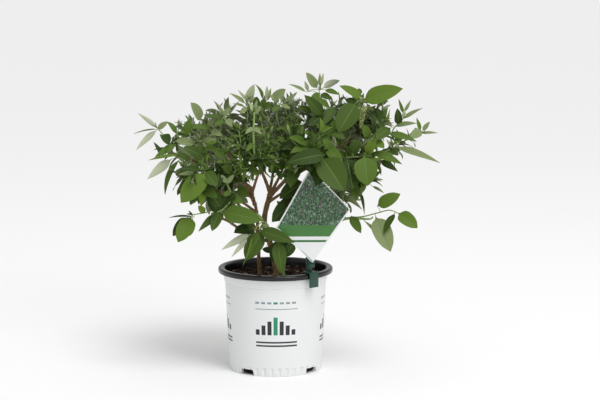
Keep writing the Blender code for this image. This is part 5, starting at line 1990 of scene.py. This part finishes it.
    def grow(self) -> None:
        """Grow the mass's own stem, its shoots and their leaves."""
        habit = MASSES[self.name].habit
        stem = self.stem_line()
        young = LIMBS[MASSES[self.name].limb].colour == "young_wood"
        (self.green if young else self.woody).sweep(stem, np.linspace(*self.stem_radii, len(stem)), 8)
        shoots = self.shoot_tips()
        for i, tip in enumerate(shoots):
            self.dice = random.Random(f"leaves_{self.name}_{i}")
            share = self.last_shoot + (self.first_shoot - self.last_shoot) * i / max(len(shoots) - 1, 1)
            begin, heading = point_along(stem, share)
            path = self.shoot_path(begin, heading, tip, self.path_steps)
            while len(path) > 3 and not self.fits(path[-1], 0):
                path = path[:-1]
            self.green.sweep(path, np.linspace(*self.shoot_radii, len(path)), 6)
            tone = self.dice.choice(habit.tones)
            self.clothe(path, habit.leaf, i * GOLDEN_ANGLE, tone)
        if shoots:
            self.dice = random.Random(f"leaves_{self.name} stem")
            self.clothe(stem[len(stem) // 3 :], habit.leaf, 0.4, habit.tones[0], spread=True)

    def grow_sprig(self, sprig: Sprig) -> None:
        """Grow one spray of the crown's outline from the mass's stem."""
        self.dice = random.Random(str(sprig.path))
        points = [Vector(point) for point in sprig.path]
        start = min(self.stem_line(), key=lambda point: (point - points[0]).length)
        path = smooth_path([start, *points], 5)
        self.green.sweep(path, np.linspace(sprig.stem, sprig.stem * 0.6, len(path)), 7)
        for row in sprig.rows:
            root, run, blade = Vector(row[:3]), Vector(row[3:6]), Blade(*row[6:])
            near = min(path, key=lambda point: (point - root).length)
            if (near - root).length > 1:
                bow = near.lerp(root, 0.5) + UP * (near - root).length * self.stalk_bow
                stalk = smooth_path([near, bow, root], 2)
                self.green.sweep(stalk, [self.stalk_radius] * len(stalk), 5)
            way = run.normalized()
            face = across(Vector(blade.facing.value), way)
            shape = (run.length, blade.breadth, blade.arch, self.dice.uniform(*self.spray_folds))
            twist = self.dice.uniform(*self.spray_twists)
            grade = Grade.LARGE if run.length > self.sprig_large_from else Grade.MEDIUM
            self.pile.leaves.append(Leaf(root, way, face, *shape, twist, blade.tone, grade))
        along = (path[-1] - path[-2]).normalized()
        self.tuft(path[-1], (along + UP * 0.4).normalized(), 9, 3)

    def build(self) -> None:
        """Grow all masses and sprays, and hand them over in a few joined pieces."""
        sides = {
            "leaves_left": ("far_left", "left_upper", "left_front", "left_middle", "low_left"),
            "leaves_middle": ("top_left", "top_centre", "front", "low_front", "low_centre", "front_right"),
            "leaves_right": ("top_right", "upper_right", "right_tip", "right_front", "right_low"),
            "leaves_rear": ("back_left", "back", "back_right", "low_back_left", "low_back_right"),
        }
        for title, names in sides.items():
            self.pile = LeafPile()
            for self.name in names:
                self.grow()
                for sprig in SPRIGS:
                    if sprig.mass == self.name:
                        self.grow_sprig(sprig)
            log.info("%s: %d leaves", title, len(self.pile.leaves))
            nodes = [f"leaves_{name}" for name in names]
            hand_over(self.pile.object(f"{title}_leafed"), "foliage", nodes)
        hand_over(self.woody.object("woody_twigs", OLD_BARK), "old_wood")
        hand_over(self.green.object("green_twigs", YOUNG_BARK), "young_wood")


# Flower buds


@dataclass
class FlowerBuds:
    """The young flower heads at the right, each a spike of small round buds."""

    # Each spike's foot, its tip, its radius at the foot and at the tip, and the number of its buds.
    spikes: tuple[tuple[Point, Point, float, float, int], ...] = (
        ((123, -44, 383), (120, -56, 354), 6.0, 1.5, 90),
        ((117, -34, 393), (134, -34, 389), 3.5, 2.0, 50),
        ((129, -38, 385), (138, -42, 378), 2.0, 1.0, 16),
    )
    bud: float = 1.7
    sides: int = 6
    # The radius and height of a bud's rings, as shares of its own.
    ring: Pair = (0.85, 0.4)
    # How a bud's distance from the spike's middle and its size vary, and how much smaller it is at the tip.
    spread: Pair = (0.75, 1.0)
    sizes: Pair = (0.7, 1.15)
    shrink: float = 0.35
    # The share of buds of the second kind.
    second: float = 0.35
    seed: int = 5

    def bud_shape(self) -> tuple[np.ndarray, np.ndarray]:
        """Give one bud as two rings between two poles, as points of unit size and three-cornered faces."""
        turns = np.arange(self.sides) * math.tau / self.sides
        radius, height = self.ring
        ring = np.stack([np.cos(turns) * radius, np.sin(turns) * radius, np.full(self.sides, height)], 1)
        points = np.concatenate([ring * (1, 1, -1), ring, [(0, 0, -1), (0, 0, 1)]])
        low = np.arange(self.sides)
        after = (low + 1) % self.sides
        high, beyond = low + self.sides, after + self.sides
        foot, top = np.full(self.sides, 2 * self.sides), np.full(self.sides, 2 * self.sides + 1)
        faces = [(after, low, foot), (low, after, beyond), (low, beyond, high), (high, beyond, top)]
        return points, np.concatenate([np.stack(corners, 1) for corners in faces])

    def build(self) -> None:
        """Set the buds round their spikes and hand them over."""
        dice = np.random.default_rng(self.seed)
        shape, sides = self.bud_shape()
        points, faces, slots = [], [], []
        for foot, tip, wide, slim, count in self.spikes:
            foot, tip = np.array(foot, float), np.array(tip, float)
            along = Vector(tip - foot).normalized()
            facing = np.array(along.to_track_quat("Z", "Y").to_matrix())
            for i in range(count):
                share = (i + 0.5) / count
                ring = (wide + (slim - wide) * share) * dice.uniform(*self.spread)
                turn = i * GOLDEN_ANGLE
                out = facing @ (math.cos(turn) * ring, math.sin(turn) * ring, 0)
                size = self.bud * dice.uniform(*self.sizes) * (1 - self.shrink * share)
                faces.append(sides + len(points) * len(shape))
                points.append(foot + (tip - foot) * share + out + shape * size)
                slots.append(np.full(len(sides), int(dice.random() < self.second)))
        rows = [(np.concatenate(faces), np.concatenate(slots))]
        hand_over(array_object("flower_buds", np.concatenate(points), rows, BUDS, 70), "foliage")


# Studio


@dataclass
class Studio:
    """A pale floor, soft light from large panels and the camera at the photograph's angle."""

    camera_place: Point = (0.0, -3.0699, 0.6989)
    pitch: float = 0.1470
    yaw: float = 0.0115
    focal_length: float = 129.858
    sensor: float = 36.0
    floor_size: float = 80.0
    floor_colour: str = "#fdfdfd"
    sky_colour: str = "#ffffff"
    sky_strength: float = 0.55

    def floor(self) -> None:
        """Lay the floor."""
        bpy.ops.mesh.primitive_plane_add(size=self.floor_size, location=(0, 0, 0))
        made = settle(bpy.context.object, "studio_floor", 0)
        # Matt white paper of the studio's floor.
        dress(made, (Finish("studio paper", self.floor_colour, 0.9, 0.1),))
        made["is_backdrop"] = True

    def hang(self, data: bpy.types.ID, place: Point, way: Vector) -> Object:
        """Put a light or the camera at a place in metres, turned to look along a direction."""
        made = bpy.data.objects.new(data.name, data)
        made.location = place
        made.rotation_euler = way.to_track_quat("-Z", "Y").to_euler()
        bpy.context.scene.collection.objects.link(made)
        return made

    def light(
        self, name: str, kind: str, way: Point, power: float, size: float, place: Point = (0, 0, 0)
    ) -> None:
        """Hang one light.

        Args:
            name: Its name.
            kind: AREA for a square panel and SUN for wide, even light.
            way: The direction it shines in.
            power: Its power in watts, or a wide light's strength.
            size: A panel's side in metres, or a wide light's angle in radians.
            place: Where it hangs, in metres.
        """
        light = bpy.data.lights.new(name, kind)
        light.energy = power
        setattr(light, "size" if kind == "AREA" else "angle", size)
        self.hang(light, place, Vector(way))

    def sky(self) -> None:
        """Fill the room with even white light."""
        world = bpy.data.worlds.new("studio room")
        world.use_nodes = True
        background = world.node_tree.nodes["Background"]
        background.inputs["Color"].default_value = paint(self.sky_colour)
        background.inputs["Strength"].default_value = self.sky_strength
        bpy.context.scene.world = world

    def camera(self) -> None:
        """Set up the camera."""
        lens = bpy.data.cameras.new("studio camera")
        lens.lens = self.focal_length
        lens.sensor_width = self.sensor
        level = math.cos(self.pitch)
        look = Vector((math.sin(self.yaw) * level, math.cos(self.yaw) * level, -math.sin(self.pitch)))
        bpy.context.scene.camera = self.hang(lens, self.camera_place, look)

    def build(self) -> None:
        """Set up floor, light and camera."""
        bpy.context.scene.view_settings.view_transform = "Standard"
        self.floor()
        self.sky()
        self.light("key panel", "AREA", (-1.3, 1.9, -1.3), 11, 0.8, (1.3, -1.9, 1.5))
        self.light("top panel", "AREA", (-0.1, -0.2, -1.8), 4, 1.2, (0.1, 0.2, 2.0))
        self.light("wide light", "SUN", (-0.3, 0.5, -1.0), 1.2, math.radians(30))
        self.camera()
        log.info("studio: floor, three lights and the camera")


def main() -> None:
    """Build and dress every piece in order."""
    logging.basicConfig(level=logging.INFO, format="%(message)s")
    PotWall().build()
    PotRim().build()
    PottingMix().build()
    LabelCard().build()
    LabelClip().build()
    wood = Wood()
    wood.build()
    Foliage(wood).build()
    FlowerBuds().build()
    Studio().build()
    new_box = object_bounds()
    [[list(corner) for corner in box] for box in (model_box, new_box)]


if __name__ == "__main__":
    main()
